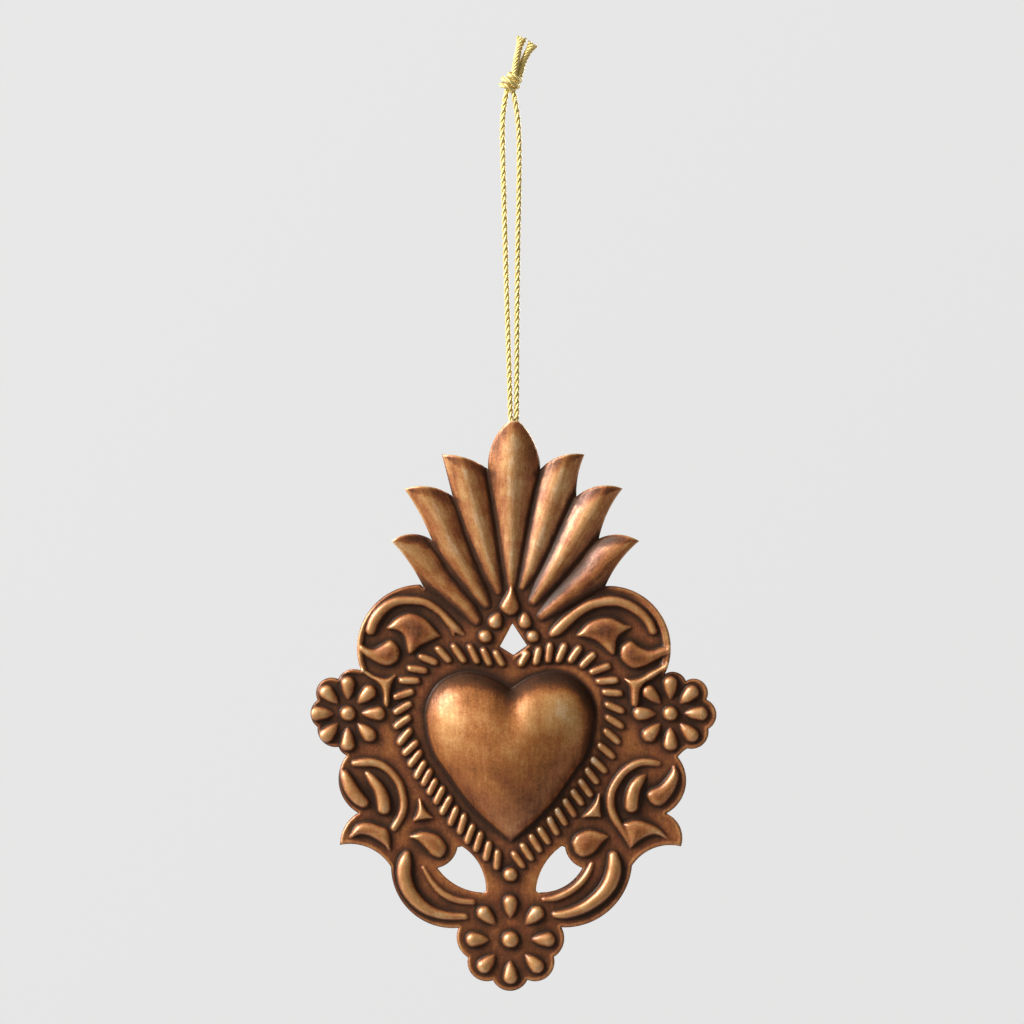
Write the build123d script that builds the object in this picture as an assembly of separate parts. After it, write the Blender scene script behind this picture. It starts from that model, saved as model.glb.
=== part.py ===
from build123d import *
import math
import os

# Stamped sacred-heart ornament of thin sheet, hung on a knotted cord.
# Frame: +Z up, the front faces -Y, origin at the hang point inside the top of the cord loop.
# The plate is drawn flat in millimetres: u to the right and v up from the heart's middle,
# with the relief rising from the back rim towards the viewer.

# Sheet and how high each kind of relief is pressed
SHEET = 0.5
ROOT = 0.2
FOOT = 0.45
HEART_RISE = 6.5
PETAL_CROWN = 0.27
TOP_PETAL_CROWN = 0.31
PETAL_PROFILE = (1.35, 0.85)
ROUND_PROFILE = (2.0, 0.5)
SCROLL_CROWN = 0.42
TIP = 0.9
SHIELD_RISE = 0.95
FLOWER_CROWN = 0.40
BEAD_RISE = 0.9

# Facets across each kind of ridge, round half of the heart, and round the other round forms
PETAL_FACETS = 6
SCROLL_FACETS = 4
TEARDROP_FACETS = 3
STROKE_FACETS = 2
HEART_FACETS = 13
CORD_SIDES = 8
WIRE_SIDES = 10
BEAD_SIDES = 12
KNOT_SIDES = 14

# Hanging: the plate's middle below the hang point, and the wire eye behind the top petal
PLATE_DROP = 130.0
EYE_U = 0.5
EYE_V = 61.5
EYE_DEPTH = 1.55
EYE_WIRE = 0.8
EYE_SPAN = 4.4
EYE_BEND = 0.7
SOLDER_DIAMETER = 1.9
SOLDER_DEPTH = 0.45

# Cord, its knot and its tails
CORD = 1.1
CORD_PLAY = 0.02
LEG_SPACING = 1.24
BEND_SHARE = 0.45
BIGHT_RISE = 6.5
BIGHT_TOP_Z = EYE_V - PLATE_DROP + BIGHT_RISE
BIGHT_LEAD = 1.5
BIGHT_BEND = 3.0
KNOT_WIDTH = 4.6
KNOT_MIDDLE = (-0.1, 0.0, 3.4)
KNOT_WRAP_COUNT = 3
KNOT_TILT = 18.0
WRAP_LEANS = (-75.0, -25.0, 25.0, 75.0)

# Strokes of the rope border round the heart
STROKE_WIDTH = 1.4
STROKE_CROWN = 0.47

# Outline, anticlockwise from the top petal's tip: an end point, or a point passed and an end
OUTLINE_START = (-0.3, 65.9)
OUTLINE = [
    ((-2.9, 62.9), (-4.6, 56.2)),
    ((-9.6, 58.6), (-13.8, 59.1)),
    (-11.7, 50.8),
    ((-16.4, 52.7), (-21.3, 52.2)),
    ((-18.2, 47.2), (-15.8, 42.0)),
    ((-20.2, 43.2), (-23.9, 41.8)),
    ((-20.2, 37.3), (-17.5, 32.5)),
    (-18.1, 33.1),
    ((-27.0, 29.4), (-30.0, 15.9)),
    ((-32.2, 16.1), (-34.6, 14.2)),
    ((-37.7, 13.9), (-38.7, 10.0)),
    ((-40.1, 7.3), (-38.7, 4.6)),
    ((-37.8, 1.8), (-34.5, 0.6)),
    ((-33.9, -0.4), (-32.9, -1.1)),
    ((-34.5, -6.3), (-30.6, -12.6)),
    ((-33.0, -14.9), (-34.2, -19.0)),
    ((-28.4, -19.6), (-24.0, -23.4)),
    ((-20.4, -32.0), (-10.5, -35.6)),
    ((-10.7, -38.7), (-8.6, -41.5)),
    ((-7.6, -45.1), (-3.6, -46.1)),
    ((-0.1, -48.2), (3.3, -46.0)),
    ((7.7, -45.0), (8.6, -41.4)),
    ((10.6, -38.4), (10.1, -35.5)),
    ((20.0, -31.8), (24.2, -23.2)),
    ((28.2, -19.8), (34.0, -19.3)),
    ((33.9, -15.6), (31.1, -12.7)),
    ((34.8, -8.0), (33.4, -1.4)),
    ((34.3, -0.4), (35.3, 0.3)),
    ((38.4, 1.1), (39.5, 4.2)),
    ((41.1, 7.2), (39.1, 10.1)),
    ((38.6, 13.4), (35.0, 13.8)),
    ((33.5, 15.4), (30.8, 15.2)),
    ((28.1, 29.4), (18.9, 32.8)),
    ((21.7, 37.7), (25.6, 41.8)),
    ((20.9, 43.1), (17.6, 42.3)),
    ((19.4, 47.7), (22.3, 52.3)),
    ((18.4, 52.9), (13.1, 50.7)),
    ((13.4, 54.9), (14.7, 59.1)),
    ((10.3, 58.9), (5.9, 56.2)),
    ((4.2, 62.3), (1.6, 65.7)),
]

# Pierced windows: the kite over the heart and the two fans beside its tip
WINDOWS = [
    ((0.3, 25.3), [(-2.2, 20.7), (0.5, 19.0), (3.2, 20.9)]),
    ((-9.8, -19.3), [((-6.4, -22.8), (-5.0, -27.8)), ((-5.2, -28.4), (-6.0, -28.5)),
                     ((-11.0, -27.0), (-14.7, -23.6)), ((-12.0, -22.1), (-10.7, -19.5))]),
    ((10.2, -19.2), [((6.7, -22.9), (5.0, -27.8)), ((5.2, -28.4), (6.0, -28.5)),
                     ((11.0, -27.1), (14.3, -23.6)), ((12.1, -22.2), (10.8, -19.5))]),
]

# Plume petals from base to tip: middle u, v and width; each runs out past the cut edge
TOP_PETAL = [(0.1, 32.6, 1.6), (0.1, 37.8, 3.9), (0.2, 45.0, 6.2), (0.3, 51.6, 8.6),
             (0.5, 57.6, 11.0), (0.6, 68.0, 11.8)]
PETALS = [
    [(-2.5, 31.8, 1.6), (-3.9, 36.0, 4.0), (-5.9, 43.0, 6.2), (-7.7, 49.9, 7.6), (-8.8, 54.2, 8.4),
     (-11.0, 63.0, 9.4)],
    [(-5.0, 29.2, 2.0), (-6.9, 32.2, 4.0), (-10.0, 37.5, 6.0), (-12.5, 42.5, 7.4), (-14.2, 46.4, 8.3),
     (-18.6, 55.0, 9.8)],
    [(-6.9, 26.0, 2.2), (-9.0, 28.7, 3.6), (-12.1, 32.0, 4.8), (-15.4, 35.2, 6.0), (-17.6, 37.8, 7.2),
     (-24.6, 43.8, 8.8)],
    [(2.3, 32.6, 1.5), (4.2, 37.2, 3.9), (6.4, 44.2, 5.8), (8.1, 49.6, 7.2), (9.4, 53.6, 8.0),
     (12.0, 62.0, 9.4)],
    [(4.5, 29.8, 1.9), (7.6, 34.3, 4.2), (10.9, 39.4, 5.8), (13.8, 44.0, 7.4), (15.6, 47.0, 8.2),
     (20.4, 55.0, 9.8)],
    [(6.2, 26.8, 2.0), (10.0, 29.8, 4.0), (14.0, 33.1, 5.4), (17.2, 35.8, 6.8), (19.2, 38.2, 7.6),
     (25.8, 44.0, 9.0)],
]

# Scroll bands, straps and crescents: middle u, v and width
SCROLLS = [
    # left side, from the top: band, strap, its stem, band, leaf and three crescents
    [(-28.6, 24.3, 1.9), (-27.4, 27.0, 2.3), (-24.4, 29.7, 2.1), (-20.6, 30.2, 1.8),
     (-16.6, 29.2, 1.7), (-12.8, 26.2, 1.6), (-9.8, 23.3, 0.6)],
    [(-29.8, 16.2, 0.9), (-27.6, 14.6, 1.1), (-25.0, 13.8, 1.4), (-23.2, 14.9, 0.4)],
    [(-24.9, 13.6, 2.0), (-24.9, 11.6, 1.0), (-24.9, 9.2, 0.8)],
    [(-31.2, -2.7, 1.3), (-28.6, -2.4, 1.8), (-25.6, -3.2, 1.6), (-22.9, -5.7, 1.6), (-21.6, -9.2, 1.6),
     (-21.8, -12.6, 1.5), (-23.4, -15.6, 1.3)],
    [(-33.2, -4.6, 0.8), (-32.5, -6.6, 2.2), (-30.9, -9.1, 2.4), (-29.6, -10.4, 2.2)],
    [(-28.6, -4.8, 0.9), (-26.6, -7.4, 2.0), (-25.6, -9.8, 2.4), (-25.4, -11.8, 2.4)],
    [(-20.8, -20.9, 1.6), (-21.4, -24.4, 3.0), (-20.2, -28.4, 2.9), (-17.4, -31.4, 2.6), (-13.4, -33.0, 1.8),
     (-9.2, -33.3, 1.3)],
    [(-17.5, -23.5, 0.6), (-15.6, -26.6, 1.1), (-12.6, -29.3, 1.4), (-7.6, -30.4, 1.1)],
    # right side, from the top: band, strap, its stem, band and three crescents
    [(8.3, 23.2, 1.3), (11.2, 25.8, 2.3), (14.8, 28.5, 2.1), (18.8, 29.7, 2.1), (22.8, 29.3, 2.1),
     (26.2, 27.2, 1.9), (28.4, 23.9, 1.8)],
    [(23.0, 14.4, 0.4), (24.8, 13.6, 1.4), (27.6, 14.6, 1.1), (29.8, 16.5, 0.9)],
    [(24.6, 13.5, 2.0), (24.4, 11.6, 1.2), (24.1, 9.6, 0.8)],
    [(29.6, -2.7, 1.0), (26.6, -2.4, 1.5), (23.2, -3.9, 1.6), (20.6, -7.2, 1.7), (19.9, -10.6, 1.8),
     (21.0, -14.0, 1.7), (23.6, -18.8, 0.5)],
    [(26.9, -5.0, 0.5), (25.2, -6.9, 1.9), (24.2, -9.6, 2.3), (24.1, -11.4, 2.3)],
    [(20.5, -21.2, 2.0), (20.5, -24.8, 3.1), (18.9, -28.0, 3.0), (15.6, -31.0, 2.5), (12.0, -32.5, 2.0),
     (8.8, -32.9, 1.2)],
    [(16.2, -22.7, 0.7), (14.6, -25.8, 1.3), (11.6, -28.4, 1.4), (6.6, -29.9, 0.8)],
]

# Broad leaves, commas and drops, as pairs of edge points from one end to the other;
# a single point is a pointed end
SHIELDS = [
    # left side: fan, comma, leaf, triangle and drop
    [(-24.9, 24.3), ((-23.2, 26.2), (-22.8, 23.8)), ((-21.4, 27.2), (-21.4, 22.6)),
     ((-19.6, 27.4), (-20.4, 19.2)), ((-17.4, 26.5), (-18.2, 20.7)), ((-15.6, 24.8), (-16.0, 21.8)),
     (-14.0, 22.8)],
    [((-30.3, 21.5), (-30.3, 19.8)), ((-27.8, 20.3), (-28.4, 18.3)), ((-25.6, 21.3), (-26.2, 17.1)),
     ((-24.0, 22.0), (-24.4, 16.8)), ((-22.5, 20.8), (-22.7, 17.8)), (-22.1, 19.4)],
    [(-32.4, -17.7), ((-31.0, -15.1), (-30.4, -17.0)), ((-28.8, -14.4), (-28.4, -17.2)),
     ((-26.4, -15.0), (-26.6, -18.2)), ((-24.4, -16.3), (-25.2, -19.2)), (-24.1, -20.4)],
    [(-18.2, -9.6), ((-18.5, -11.8), (-17.4, -11.8)), ((-19.5, -14.2), (-15.6, -13.4))],
    [(-20.4, -17.4), ((-18.4, -16.4), (-18.8, -18.1)), ((-16.6, -16.3), (-17.2, -19.6)),
     ((-14.4, -17.1), (-15.8, -21.1)), ((-12.9, -19.0), (-14.2, -21.6)), (-13.1, -20.6)],
    # drop over the kite
    [(0.2, 33.4), ((-0.9, 31.2), (0.9, 31.2)), ((-2.2, 28.7), (1.7, 28.7)), ((-1.3, 27.3), (1.0, 27.3)),
     (-0.2, 26.8)],
    # right side: fan, comma, leaf, hook, triangle and drop
    [(13.0, 22.8), ((15.2, 25.3), (15.4, 22.3)), ((17.6, 26.4), (17.4, 21.5)), ((20.0, 26.5), (20.5, 19.0)),
     ((21.8, 25.8), (21.3, 22.2)), ((23.0, 25.1), (22.5, 23.5)), (24.3, 24.7)],
    [(21.7, 19.4), ((22.2, 20.9), (22.2, 17.9)), ((24.0, 21.9), (24.2, 16.3)), ((26.0, 20.6), (26.4, 16.6)),
     ((28.0, 20.0), (28.8, 17.8)), ((30.2, 20.6), (30.4, 18.9))],
    [((22.4, -14.6), (24.0, -19.6)), ((25.0, -13.9), (25.8, -18.1)), ((27.8, -14.6), (28.2, -17.0)),
     ((30.0, -16.0), (30.0, -17.2)), (31.8, -18.1)],
    [(32.6, -2.9), ((31.7, -4.8), (33.6, -4.9)), ((29.9, -6.9), (32.8, -8.0)), ((27.9, -7.9), (30.6, -10.8)),
     ((27.1, -9.0), (28.9, -11.2)), (27.7, -10.4)],
    [(17.8, -8.3), ((16.6, -10.4), (17.8, -10.8)), ((14.3, -13.4), (17.9, -13.3))],
    [(19.7, -17.2), ((17.6, -16.3), (18.2, -18.7)), ((15.4, -15.9), (16.6, -20.6)),
     ((13.0, -16.9), (14.4, -21.5)), ((12.1, -18.6), (12.8, -20.6))],
]

# Flowers: centre, radius of the middle bead, radii of the petals' points and ends, petal width
FLOWERS = [
    ((-32.6, 7.3), 1.55, 2.7, 7.4, 2.9),
    ((31.9, 7.3), 1.5, 2.8, 7.5, 2.7),
    ((-0.1, -37.9), 1.65, 4.2, 9.0, 2.9),
]
FLOWER_PETAL_COUNT = 8

# Beads: middle and radius; drops: point, far end and width
BEADS = [((-5.1, 22.7), 1.35), ((4.4, 22.7), 1.25), ((-0.1, -24.9), 1.45)]
DROPS = [((-2.2, 27.6), (-3.6, 24.3), 2.8), ((2.7, 27.7), (2.9, 24.2), 2.6)]

# Share of the length and of the width at the stations of a teardrop and a stroke
TEARDROP = [(0.0, 0.0), (0.48, 0.72), (0.80, 0.96), (1.0, 0.0)]
STROKE = [(0.0, 0.0), (0.3, 0.9), (0.7, 0.9), (1.0, 0.0)]

# Puffed heart: half outline from the cleft to the tip, and the dome's inset and share of the rise
HEART_HALF = [(0.0, 12.0), (4.0, 14.4), (9.0, 15.5), (13.4, 14.0), (16.0, 11.0), (17.0, 6.6), (15.7, 0.0),
              (13.0, -4.2), (7.5, -11.6), (0.0, -18.5)]
HEART_MIDDLE = (0.0, 1.0)
HEART_STEPS = [(1.0, 0.0), (0.95, 0.23), (0.88, 0.39), (0.78, 0.55), (0.64, 0.72), (0.46, 0.87), (0.22, 1.0)]
SHIELD_STEPS = [(1.0, 0.0), (0.86, 0.75), (0.66, 1.0)]
BEAD_STEPS = [(1.0, 0.0), (0.84, 0.6), (0.45, 1.0)]

# Rope border: both ends of each stroke, from the kite down to the bottom bead
LEFT_ROPE = [
    ((-3.1, 19.6), (-1.6, 17.0)), ((-5.6, 20.2), (-4.2, 17.0)), ((-8.3, 20.9), (-6.6, 17.4)),
    ((-11.6, 21.0), (-9.2, 17.6)), ((-14.8, 20.5), (-12.2, 17.7)), ((-18.3, 18.8), (-14.8, 17.4)),
    ((-20.5, 16.4), (-16.8, 15.8)), ((-22.2, 13.9), (-18.3, 13.9)), ((-23.4, 10.5), (-19.5, 11.8)),
    ((-23.3, 7.4), (-20.0, 9.4)), ((-23.2, 4.5), (-20.2, 6.7)), ((-22.4, 1.2), (-20.0, 4.2)),
    ((-21.4, -0.9), (-18.7, 1.7)), ((-20.3, -3.2), (-18.0, -0.2)), ((-19.0, -5.6), (-17.2, -2.3)),
    ((-17.6, -7.0), (-16.0, -3.9)), ((-16.4, -8.8), (-15.0, -5.9)), ((-15.1, -10.7), (-13.5, -7.4)),
    ((-13.9, -12.8), (-12.0, -9.3)), ((-12.2, -15.0), (-10.8, -11.4)), ((-10.3, -16.7), (-9.2, -12.8)),
    ((-8.9, -18.6), (-7.5, -14.9)), ((-7.1, -20.2), (-5.9, -16.4)), ((-5.1, -22.0), (-4.3, -18.4)),
    ((-2.9, -23.8), (-2.6, -20.1)),
]
RIGHT_ROPE = [
    ((1.9, 17.0), (3.4, 19.5)), ((4.9, 17.2), (5.7, 20.4)), ((7.4, 17.6), (7.9, 21.3)),
    ((9.3, 17.6), (10.9, 21.2)), ((11.7, 17.6), (13.9, 20.7)), ((14.0, 16.6), (16.7, 19.3)),
    ((15.9, 15.5), (19.8, 16.9)), ((17.2, 13.7), (21.4, 14.0)), ((18.5, 11.6), (22.2, 11.3)),
    ((19.0, 9.2), (22.5, 7.7)), ((19.1, 6.7), (22.4, 4.6)), ((18.7, 4.0), (21.6, 1.5)),
    ((17.5, 1.2), (20.6, -1.5)), ((16.1, -1.6), (19.0, -4.4)), ((15.0, -3.7), (17.3, -6.6)),
    ((13.7, -5.9), (16.1, -9.2)), ((12.2, -8.0), (14.3, -10.9)), ((10.6, -9.8), (12.8, -13.2)),
    ((9.0, -11.7), (11.0, -14.9)), ((7.5, -13.5), (9.3, -16.8)), ((5.6, -15.6), (7.6, -18.6)),
    ((3.9, -17.0), (5.9, -20.2)), ((2.2, -18.9), (4.2, -21.9)), ((0.5, -20.6), (2.5, -23.4)),
]

# Cord legs from the bight up to the knot, and the tails, in the frame's x and z
LEG_TOP_Z = KNOT_MIDDLE[2] - KNOT_WIDTH / 2
LEFT_LEG = [(-1.0, -34.0), (-1.55, -14.0), (-1.8, -4.4), (-1.05, LEG_TOP_Z)]
RIGHT_LEG = [(1.25, -34.0), (1.7, -14.0), (1.55, -4.4), (0.55, LEG_TOP_Z)]
TAIL_FOOT_Z = KNOT_MIDDLE[2] + KNOT_WIDTH / 4
LEFT_TAIL = [(0.55, TAIL_FOOT_Z), (1.3, TAIL_FOOT_Z + 4.0), (2.2, TAIL_FOOT_Z + 7.7)]
RIGHT_TAIL = [(1.75, TAIL_FOOT_Z), (2.8, TAIL_FOOT_Z + 3.4), (4.2, TAIL_FOOT_Z + 6.3)]


def outline_face(start, steps):
    """Flat face bounded by straight runs and arcs."""
    edges = []
    here = start
    for step in steps + [start]:
        if isinstance(step[0], tuple):
            edges.append(ThreePointArc(here, step[0], step[1]))
            here = step[1]
        elif step != here:
            edges.append(Line(here, step))
            here = step
    return make_face(Wire(edges))


def band(stations, crown, facets, profile=ROUND_PROFILE):
    """Pressed ridge lofted through faceted sections across a middle line, with pointed ends."""
    foot = SHEET - ROOT
    sharp, full = profile
    sections = []
    for i, (u, v, width) in enumerate(stations):
        if width == 0:
            sections.append(Vertex(u, v, foot))
            continue
        before = stations[max(i - 1, 0)]
        after = stations[min(i + 1, len(stations) - 1)]
        along = Vector(after[0] - before[0], after[1] - before[1], 0).normalized()
        half = (width + FOOT) / 2
        points = []
        for step in range(facets + 1):
            side = math.cos(math.pi * step / facets)
            rise = (ROOT + crown * 2 * half) * (1 - abs(side) ** sharp) ** full
            points.append((u - along.Y * half * side, v + along.X * half * side, foot + rise))
        reach = along * (half * TIP)
        if i == 0:
            sections.append(Vertex(u - reach.X, v - reach.Y, foot))
        sections.append(Wire.make_polygon(points))
        if i == len(stations) - 1:
            sections.append(Vertex(u + reach.X, v + reach.Y, foot))
    return Solid.make_loft(sections, True)


def tapered(start, end, width, shares, crown, facets):
    """Short ridge between two points, its width following a list of shares."""
    stations = []
    for along, wide in shares:
        stations.append((start[0] + along * (end[0] - start[0]), start[1] + along * (end[1] - start[1]),
                         wide * width))
    return band(stations, crown, facets)


def terraced(points, middle, steps, rise):
    """Boss lofted through an outline that shrinks towards its middle as it rises."""
    sections = []
    for scale, share in steps:
        level = SHEET - ROOT + share * (ROOT + rise)
        sections.append(Wire.make_polygon([
            (middle[0] + scale * (u - middle[0]), middle[1] + scale * (v - middle[1]), level) for u, v in points]))
    return Solid.make_loft(sections, True)


def shield(pairs):
    """Broad boss between two edges, bevelled up to a flat top."""
    first = [pair[0] if isinstance(pair[0], tuple) else pair for pair in pairs]
    second = [pair[1] for pair in pairs if isinstance(pair[0], tuple)]
    points = first + second[::-1]
    middle = make_face(Wire.make_polygon(points)).center()
    return terraced(points, (middle.X, middle.Y), SHIELD_STEPS, SHIELD_RISE)


def heart_dome():
    """Puffed heart rising in even steps from its outline to its crown."""
    half = Spline(*HEART_HALF)
    right = [half @ (i / HEART_FACETS) for i in range(HEART_FACETS + 1)]
    points = [(place.X, place.Y) for place in right]
    points += [(-place.X, place.Y) for place in right[-2:0:-1]]
    return terraced(points, HEART_MIDDLE, HEART_STEPS, HEART_RISE)


def bead(middle, radius):
    """Round boss, as high as its radius allows."""
    turns = [2 * math.pi * i / BEAD_SIDES for i in range(BEAD_SIDES)]
    wide = radius + FOOT / 2
    points = [(middle[0] + wide * math.cos(turn), middle[1] + wide * math.sin(turn)) for turn in turns]
    return terraced(points, middle, BEAD_STEPS, BEAD_RISE * radius)


def flower(centre, bead_radius, point_radius, end_radius, width):
    """Middle bead and a ring of teardrop petals pointing inwards."""
    pieces = [bead(centre, bead_radius)]
    for i in range(FLOWER_PETAL_COUNT):
        angle = 2 * math.pi * i / FLOWER_PETAL_COUNT
        out = (math.cos(angle), math.sin(angle))
        point = (centre[0] + point_radius * out[0], centre[1] + point_radius * out[1])
        end = (centre[0] + end_radius * out[0], centre[1] + end_radius * out[1])
        pieces.append(tapered(point, end, width, TEARDROP, FLOWER_CROWN, TEARDROP_FACETS))
    return pieces


def rope(ends):
    """Row of pointed strokes."""
    return [tapered(start, end, STROKE_WIDTH, STROKE, STROKE_CROWN, STROKE_FACETS) for start, end in ends]


def stand_up(piece):
    """Stand a flat drawing up in the frame, relief towards -Y and the eye's axis in the hang plane."""
    upright = Plane(origin=(0, EYE_DEPTH, -PLATE_DROP), x_dir=(1, 0, 0), z_dir=(0, -1, 0))
    return upright.location * piece


def behind(piece):
    """The hollow that a pressed form leaves at the back of the sheet."""
    return Pos(0, 0, -SHEET) * piece


def stamped_plate(top_petal, heart):
    """Cut sheet with its relief, hollow behind the heart and the plume."""
    face = outline_face(OUTLINE_START, OUTLINE)
    for start, steps in WINDOWS:
        face -= outline_face(start, steps)
    ground = extrude(face, SHEET)
    petals = [top_petal] + [band(petal, PETAL_CROWN, PETAL_FACETS, PETAL_PROFILE) for petal in PETALS]
    tall = extrude(face, SHEET + HEART_RISE)
    small = []
    for stations in SCROLLS:
        small.append(band(stations, SCROLL_CROWN, SCROLL_FACETS))
    for pairs in SHIELDS:
        small.append(shield(pairs))
    for values in FLOWERS:
        small.extend(flower(*values))
    for middle, radius in BEADS:
        small.append(bead(middle, radius))
    for point, end, width in DROPS:
        small.append(tapered(point, end, width, TEARDROP, FLOWER_CROWN, TEARDROP_FACETS))
    small.extend(rope(LEFT_ROPE))
    small.extend(rope(RIGHT_ROPE))
    plate = ground.fuse(*[petal & tall for petal in petals], heart, *small)
    return plate.cut(*[behind(petal) for petal in petals], behind(heart))


def hanging_eye(hollow):
    """Bent wire staple whose feet end on the inside of the top petal."""
    half = EYE_SPAN / 2
    reach = EYE_DEPTH + HEART_RISE
    path = FilletPolyline((EYE_U - half, EYE_V, reach), (EYE_U - half, EYE_V, EYE_DEPTH),
                          (EYE_U + half, EYE_V, EYE_DEPTH), (EYE_U + half, EYE_V, reach), radius=EYE_BEND)
    wire = Plane((EYE_U - half, EYE_V, reach), z_dir=(0, 0, -1)) * RegularPolygon(EYE_WIRE / 2, WIRE_SIDES)
    return sweep(wire, path) & hollow


def eye_solder(hollow, eye):
    """Solder round each foot, spread over the inside of the petal."""
    layer = hollow - Pos(0, 0, -SOLDER_DEPTH) * hollow
    pieces = []
    for side in (-1, 1):
        spot = Pos(EYE_U + side * EYE_SPAN / 2, EYE_V, 0) * RegularPolygon(SOLDER_DIAMETER / 2, WIRE_SIDES)
        pieces.append((extrude(spot, HEART_RISE) & layer) - eye)
    return Part() + pieces


def cord_section():
    """Section of the round cord, faceted."""
    return RegularPolygon(CORD / 2, CORD_SIDES)


def cord_tube(points):
    """Round cord along straight runs joined by arcs as large as the runs allow."""
    places = [Vector(*point) for point in points]
    runs = [places[i + 1] - places[i] for i in range(len(places) - 1)]
    radii = []
    for before, after in zip(runs, runs[1:]):
        turn = math.radians(before.get_angle(after))
        radii.append(BEND_SHARE * min(before.length, after.length) / math.tan(turn / 2))
    path = FilletPolyline(*places, radius=radii)
    section = Plane(places[0], z_dir=runs[0]) * cord_section()
    tube = sweep(section, path)
    print("cord radii", [round(radius, 1) for radius in radii], "length", round(path.length, 1),
          "volume ratio", round(tube.volume / (section.area * path.length), 4))
    return tube


def cord_bight():
    """Turn of the cord through the eye, one side in front of the bar and one behind."""
    swing = EYE_WIRE / 2 + CORD / 2 + CORD_PLAY
    bar_z = EYE_V - PLATE_DROP
    half = LEG_SPACING / 2
    under = bar_z - swing
    entry = bar_z + 2 * swing
    lead = BIGHT_TOP_Z - BIGHT_LEAD
    bend = BIGHT_BEND * CORD
    round_bar = swing - CORD_PLAY
    path = FilletPolyline(
        (EYE_U - half, 0, BIGHT_TOP_Z), (EYE_U - half, 0, lead), (EYE_U, -swing, entry),
        (EYE_U, -swing, under), (EYE_U, swing, under),
        (EYE_U, swing, entry), (EYE_U + half, 0, lead), (EYE_U + half, 0, BIGHT_TOP_Z),
        radius=[bend, bend, round_bar, round_bar, bend, bend])
    return sweep(Plane((EYE_U - half, 0, BIGHT_TOP_Z), z_dir=(0, 0, -1)) * cord_section(), path)


def cord_leg(points, side):
    """Tight leg of the loop from the bight's end up into the knot."""
    foot = (EYE_U + side * LEG_SPACING / 2, 0, BIGHT_TOP_Z + CORD_PLAY)
    return cord_tube([foot] + [(x, 0, z) for x, z in points])


def cord_knot():
    """Doubled overhand knot: a leaning stack of wraps, filled in the middle."""
    half = CORD / 2
    waist = KNOT_WIDTH / 2 - half
    pitch = (KNOT_WIDTH - CORD) / KNOT_WRAP_COUNT
    sections = []
    for i in range(KNOT_WRAP_COUNT):
        level = (i - (KNOT_WRAP_COUNT - 1) / 2) * pitch
        for lean in WRAP_LEANS:
            turn = math.radians(lean)
            wrap = RegularPolygon(waist + half * math.cos(turn), KNOT_SIDES)
            sections.append((Pos(0, 0, level + half * math.sin(turn)) * wrap).wire())
    return Pos(*KNOT_MIDDLE) * Rot(0, KNOT_TILT, 0) * Solid.make_loft(sections, True)


def cord_tail(points):
    """Short free end above the knot."""
    return cord_tube([(x, 0, z) for x, z in points])


def save(name, piece):
    """Write one sub-part."""
    export_step(piece, "parts/" + name + ".step")


def main():
    os.makedirs("parts", exist_ok=True)
    top_petal = band(TOP_PETAL, TOP_PETAL_CROWN, PETAL_FACETS, PETAL_PROFILE)
    heart = heart_dome()
    hollow = behind(top_petal)
    eye = hanging_eye(hollow)
    knot = cord_knot()
    save("stamped_plate", stand_up(stamped_plate(top_petal, heart)))
    save("hanging_eye", stand_up(eye))
    save("eye_solder", stand_up(eye_solder(hollow, eye)))
    save("cord_bight", cord_bight())
    save("cord_left_leg", cord_leg(LEFT_LEG, -1) - knot)
    save("cord_right_leg", cord_leg(RIGHT_LEG, 1) - knot)
    save("cord_knot", knot)
    save("cord_left_tail", cord_tail(LEFT_TAIL) - knot)
    save("cord_right_tail", cord_tail(RIGHT_TAIL) - knot)


main()
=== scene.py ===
import math
import random

import bpy
import numpy as np
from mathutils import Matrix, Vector
from mathutils.geometry import delaunay_2d_cdt


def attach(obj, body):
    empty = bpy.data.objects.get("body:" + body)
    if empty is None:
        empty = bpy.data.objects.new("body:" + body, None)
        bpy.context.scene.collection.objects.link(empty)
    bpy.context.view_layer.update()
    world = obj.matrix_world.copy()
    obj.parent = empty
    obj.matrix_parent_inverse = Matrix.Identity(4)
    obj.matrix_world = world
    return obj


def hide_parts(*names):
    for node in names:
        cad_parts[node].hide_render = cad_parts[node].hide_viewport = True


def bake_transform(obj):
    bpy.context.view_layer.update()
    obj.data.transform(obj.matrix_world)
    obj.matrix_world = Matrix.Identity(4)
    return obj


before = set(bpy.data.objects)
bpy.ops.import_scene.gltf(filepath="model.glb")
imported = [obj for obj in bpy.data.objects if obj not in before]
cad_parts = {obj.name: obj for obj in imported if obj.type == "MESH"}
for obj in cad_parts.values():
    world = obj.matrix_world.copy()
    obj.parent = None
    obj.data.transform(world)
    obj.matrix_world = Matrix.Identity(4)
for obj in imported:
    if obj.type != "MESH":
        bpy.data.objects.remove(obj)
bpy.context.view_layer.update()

# The plate is drawn flat in millimetres, u to the right and v up from the heart's middle,
# and stands up in the frame with its front towards -Y
MM = 0.001
PLATE_DROP = 130.0
SHEET = 0.5
EYE_U = 0.5
EYE_V = 61.5
EYE_DEPTH = 1.55
FRONT_Y = EYE_DEPTH - SHEET

# A pair whose name ends in SPAN says where something sets in, and how far on it is in full,
# or how far back if that is negative. LIP, CUT_EDGE, PLUME_EDGE and the moat's painted light are bands along
# an edge:
# their strength, distance from the edge and width

# Relief above the sheet: rises in millimetres, and crowns as shares of a form's width
HEART_RISE = 6.5
HEART_VALLEY = 0.34
VALLEY_WIDTH = 2.6
VALLEY_SPAN = (1.0, 11.0)
SKIN_STEPS = (8, 4, 2)
SKIN_ROUNDS = 500
SKIN_BLUR = 0.16
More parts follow.
